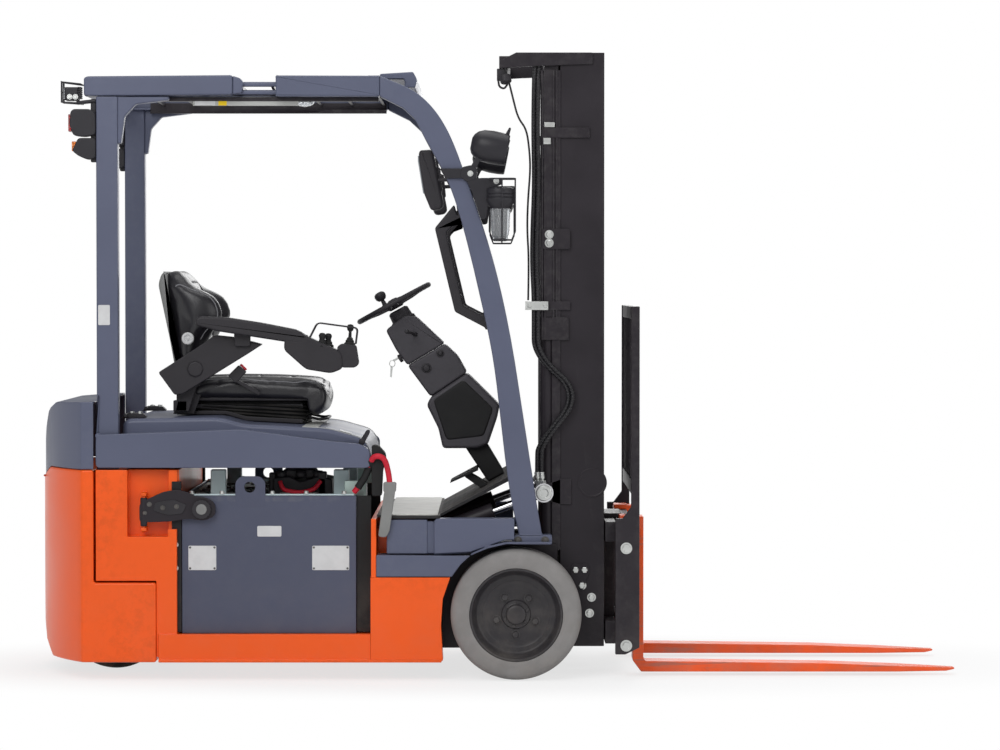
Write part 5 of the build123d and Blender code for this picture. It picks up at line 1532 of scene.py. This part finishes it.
def mast_lines():
    """The mast's pipes, hoses and wire, with their brackets and clamps."""
    for name, x, y in (("near", 137, -352), ("far", 122, -345)):
        route = [(x + 6, -306, 2150), (x + 2, -318, 2120), (x, y, 2070), (x - 2, y, 1900), (x + 2, y, 1740),
                 (x - 5, y, 1560), (x - 6, y, 1440), (x, y, 1330), (x, y, 1240), (x, y, 1125),
                 (x + 160, y, 990), (x + 14, y, 812), (x + 12, y, 760), (x + 12, y, 700)]
        standing = ("mast_hoses",) if name == "near" else ()
        line = line_of(f"mast_hose_{name}", route, 16, "hose_rubber", "mast", standing)
        low = fitting(f"hose_end_{name}", (x + 12, y, 716), (0.1, 0, -1), "mast")
    route = [(20, -330, 2140), (36, -334, 2080), (50, -336, 2023), (66, -338, 1960), (96, -340, 1921),
             (106, -342, 1850), (110, -342, 1780), (101, -342, 1672), (98, -342, 1567), (105, -342, 1461),
             (102, -342, 1320)]
    wire = line_of("mast_wire", route, 7, "hose_rubber", "mast")
    mesh = bmesh.new()
    for x, y, low in ((150, -334, 1180), (160, -332, 1180), (190, -330, 1180), (202, -330, 1180)):
        tube(mesh, [(x, y, 2128), (x, y, low)], 5.0, 12)
    brick(mesh, 164, 186, -334, -330, 1262, 2130)
    brick(mesh, 186, 216, -331, -327, 440, 2128)
    build("mast_pipes", mesh, "mast_black", "mast", 0.8)
    mesh = bmesh.new()
    for side in (-1, 1):
        brick(mesh, 147, 318, side * 336, side * 325.4, 1891, 1927)
        brick(mesh, 168, 250, side * 337, side * 325.4, 1286, 1316)
        plate(mesh, [(151, 1500), (151, 1571), (249, 1571), (249, 1500)], 8, 3, side * 342, side * 325.4)
    build("hose_brackets", mesh, "mast_black", "mast", 1.5)
    mesh = bmesh.new()
    brick(mesh, -8, 30, -325, -290, 2092, 2134)
    turned(mesh, [(0, 0), (0, 20), (24, 20), (28, 14), (30, 0)], place(20, -334, 2108), (0.2, -0.3, -1), 24)
    tube(mesh, rounded3([(-4, -322, 2100), (0, -326, 2070), (18, -328, 2062), (30, -330, 2080)], 12), 4, 8)
    build("mast_sensor", mesh, "plastic_black", "mast", 2)
    mesh = bmesh.new()
    for x0, x1, y0, y1 in ((92, 172, -364, -361), (92, 172, -335, -332), (92, 96, -364, -332),
                           (168, 172, -364, -332)):
        brick(mesh, x0, x1, y0, y1, 1286, 1316)
    for x0, x1, z0, z1 in ((159, 195, 1928, 1945), (156, 181, 1868, 1890)):
        brick(mesh, x0, x1, -343, -336, z0, z1)
    build("hose_clamps", mesh, "zinc", "mast", 1.0, 2)
    spots = [(106, -364, 1301), (160, -364, 1301)]
    bolts("clamp_bolts", "mast", spots, (0, -1, 0), 12, 6)


def battery_lead():
    """The battery plug, its lead with a sleeve, and the foam beside it."""
    y = -511.3
    route = [(-505, -460.3, 652), (-492, -468, 668), (-470, -474, 700), (-450, -480, 745), (-436, y, 782),
             (-398, y, 776), (-384, y, 724), (-379, y, 680), (-386, y, 620), (-398, y, 560)]
    lead = line_of("battery_lead", route, 20, "red_lead", "chassis", ("battery_plug",))
    mesh = bmesh.new()
    y0, y1 = -524, -500.6
    plate(mesh, [(-398, 662), (-360, 662), (-380, 520), (-392, 498), (-420, 500), (-416, 530)], 9, 3, y0, y1)
    plate(mesh, [(-402, 690), (-356, 690), (-358, 655), (-402, 655)], 6, 2, y0, y1)
    plug = build("battery_plug_body", mesh, "plug_grey", "chassis", 3.5, 3)
    mesh = bmesh.new()
    tube(mesh, route[1:3] + [(-460, -477, 722), (-450, -480, 745), (-443, -495, 764)], 13, 16)
    sleeve = build("lead_sleeve", mesh, "rubber_black", "chassis", 0, angle=180)
    mesh = bmesh.new()
    plate(mesh, [(-443, 818), (-420, 816), (-396, 790), (-392, 762), (-404, 730), (-408, 640), (-443, 640)],
          8, 3, -497, -440)
    build("bay_foam", mesh, "rubber_black", "chassis", 4, 3)


mast_lines()
battery_lead()


# Mast, chains and small fittings


def chains():
    """The mast's chains and the wheels they run over."""
    runs = []
    for side in (-1, 1):
        runs.append([(156, side * 120, 1300), (156, side * 120, 2070), (158, side * 120, 2086),
                     (170, side * 120, 2100), (187, side * 120, 2105), (204, side * 120, 2100),
                     (216, side * 120, 2086), (217, side * 120, 2070), (217, side * 120, 170)])
    made = grown("stage_chain_links", CHAIN, *run_lines(runs), "steel_plain", "second_stage",
                 Pitch=CHAIN_PITCH, Plate=CHAIN_PLATE, Width=0.020)
    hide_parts("stage_chains")
    mesh = bmesh.new()
    for side in (-1, 1):
        turned(mesh, [(0, 0), (0, 30), (3, 30), (4, 26), (20, 26), (21, 30), (24, 30), (24, 0)],
               place(187, side * 132 - 12 * (1 + side) + 12 * (1 - side), 2075), (0, 1, 0), 40)
        brick(mesh, 180, 194, side * 100, side * 140, 2072, 2124)
    build("chain_wheels", mesh, "steel_plain", "second_stage", 1.5)
    runs = [[(337, y, 560), (337, y, 1362)] for y in (-80, 80)]
    grown("lift_chain_links", CHAIN, *run_lines(runs), "steel_plain", "free_lift", Pitch=CHAIN_PITCH,
          Plate=CHAIN_PLATE, Width=0.021)


def mast_fittings():
    """The mast's bolts, plates and tilt pins."""
    for side, word in SIDES:
        way = (0, side, 0)
        face = side * RAIL_SIDE
        spots = [(270, face, 369), (301, face, 369), (292, face, 314), (326, face, 272), (319, face, 216)]
        bolts(f"rail_bolts_{word}", "mast", spots, way, 20, 9)
        mesh = bmesh.new()
        plate(mesh, [(250, 350), (256, 390), (312, 392), (322, 370), (312, 345), (296, 296), (278, 300)],
              12, 4, side * 324.5, side * 329)
        turned(mesh, [(0, 0), (0, 52), (2.5, 52), (3, 47), (1.5, 45), (1.5, 0)],
               place(328, side * 324.8, 677), way, 48)
        build(f"rail_plates_{word}", mesh, "mast_black", "mast", 1.2)
        bolts(f"plate_bolts_{word}", "mast", [(176, side * 342, 1551), (176, side * 342, 1521)], way, 20, 8)
        mesh = bmesh.new()
        turned(mesh, [(0, 0), (0, 28), (3, 28), (5, 25), (5, 16), (2, 14), (2, 0)],
               place(157, side * 376, 643), way, 36)
        build(f"tilt_pin_{word}", mesh, "zinc", "mast", 0.6)
        bolts(f"backrest_bolts_{word}", "side_shifter", [(443, side * 480.2, 457),
                                                         (443, side * 480.2, 117)], way, 26, 10)


chains()
mast_fittings()


def body_details():
    """The pillars' label, feet and bolts, and the step plate."""
    mesh = bmesh.new()
    plate(mesh, [(-1394, 1234), (-1353, 1234), (-1353, 1304), (-1394, 1304)], 4, 2, -480, -477.5)
    build("pillar_label", mesh, "label_white", "chassis", 0.4, 1)
    mesh = bmesh.new()
    slab(mesh, rounded([(-389, -496), (-214, -496), (-214, 496), (-389, 496)], 12, 3), 572.2, 575, up=True)
    build("step_plate", mesh, "worn_steel", "chassis", 1.0, 2)
    mesh = bmesh.new()
    for side in (-1, 1):
        plate(mesh, [(44, 470), (184, 470), (184, 500), (44, 500)], 6, 2, side * 480, side * 486)
    build("pillar_feet", mesh, "panel_grey", "chassis", 3, 2)
    spots = [(x, side * 486, 485) for side in (-1, 1) for x in (66, 160)]
    bolts("pillar_bolts", "chassis", spots, outward(spots), 18, 8, "steel_plain")


body_details()


# Stage, light and camera


# The photograph's horizon above its middle row, and its viewing distance, both in pixels
HORIZON_ROWS, FOCAL_PIXELS = 87, 3392


def studio():
    """Pale floor that fades to white away from the truck, soft lamps and the photograph's camera."""
    mesh = bmesh.new()
    slab(mesh, [(-30000, -30000), (30000, -30000), (30000, 30000), (-30000, 30000)], -8, -2, up=True)
    bmesh.ops.recalc_face_normals(mesh, faces=mesh.faces)
    floor = object_of("floor", mesh)
    material = bpy.data.materials.new("floor_white")
    material.use_nodes = True
    tree = material.node_tree
    shader = tree.nodes["Principled BSDF"]
    shader.inputs["Base Color"].default_value = (0.86, 0.86, 0.87, 1)
    shader.inputs["Roughness"].default_value = 0.9
    spot = add(tree, "ShaderNodeTexCoord").outputs["Object"]
    oval = add(tree, "ShaderNodeMapping", Vector=spot, Scale=(0.5, 1.1, 1.0)).outputs["Vector"]
    far = add(tree, "ShaderNodeVectorMath", {"operation": "LENGTH"}, _0=oval).outputs["Value"]
    fade = add(tree, "ShaderNodeMapRange", {"interpolation_type": "SMOOTHSTEP"}, Value=far)
    for label, value in (("From Min", 0.75), ("From Max", 1.3), ("To Min", 0.72), ("To Max", 1.0)):
        fade.inputs[label].default_value = value
    rays = add(tree, "ShaderNodeLightPath")
    seen = arithmetic(tree, "MAXIMUM", rays.outputs["Is Camera Ray"], rays.outputs["Is Glossy Ray"])
    seen = arithmetic(tree, "MAXIMUM", seen, rays.outputs["Is Transmission Ray"])
    white = add(tree, "ShaderNodeEmission", Strength=1.0)
    mixed = add(tree, "ShaderNodeMixShader", _0=arithmetic(tree, "MULTIPLY", seen, fade.outputs["Result"]))
    tree.links.new(shader.outputs[0], mixed.inputs[1])
    tree.links.new(white.outputs[0], mixed.inputs[2])
    tree.links.new(mixed.outputs[0], tree.nodes["Material Output"].inputs["Surface"])
    floor.data.materials.append(material)

    world = bpy.data.worlds.new("studio")
    SCENE.world = world
    world.use_nodes = True
    tree = world.node_tree
    rays = add(tree, "ShaderNodeLightPath")
    seen = arithmetic(tree, "MAXIMUM", rays.outputs["Is Camera Ray"], rays.outputs["Is Transmission Ray"])
    soft = arithmetic(tree, "MULTIPLY", rays.outputs["Is Glossy Ray"], 0.42)
    strength = arithmetic(tree, "MAXIMUM", arithmetic(tree, "MAXIMUM", seen, soft), 0.38)
    tree.nodes["Background"].inputs["Color"].default_value = (1, 1, 1, 1)
    tree.links.new(strength, tree.nodes["Background"].inputs["Strength"])

    for name, spot, aim, size, watts in (
        ("key", (-2.2, -5.5, 4.6), (0, 0, 0.8), 4.0, 178),
        ("fill", (4.5, -4.0, 2.6), (0.3, 0, 0.9), 3.5, 64),
        ("top", (0.3, 0.5, 6.0), (0, 0, 0), 5.0, 128),
        ("back", (1.0, 6.0, 3.2), (0, 0, 0.9), 4.0, 112),
    ):
        lamp = bpy.data.lights.new(name, "AREA")
        lamp.shape, lamp.size, lamp.energy = "DISK", size, watts
        obj = bpy.data.objects.new(name, lamp)
        SCENE.collection.objects.link(obj)
        obj.location = spot
        obj.rotation_euler = (Vector(aim) - Vector(spot)).to_track_quat("-Z", "Y").to_euler()

    eye = bpy.data.cameras.new("camera")
    eye.lens, eye.sensor_width = 122.1, 36.0
    camera = bpy.data.objects.new("camera", eye)
    SCENE.collection.objects.link(camera)
    camera.location = (0.018, -12.27, 1.363)
    camera.rotation_euler = (math.radians(90) - math.atan(HORIZON_ROWS / FOCAL_PIXELS), 0, 0)
    SCENE.camera = camera
    SCENE.view_settings.view_transform = "Standard"


studio()
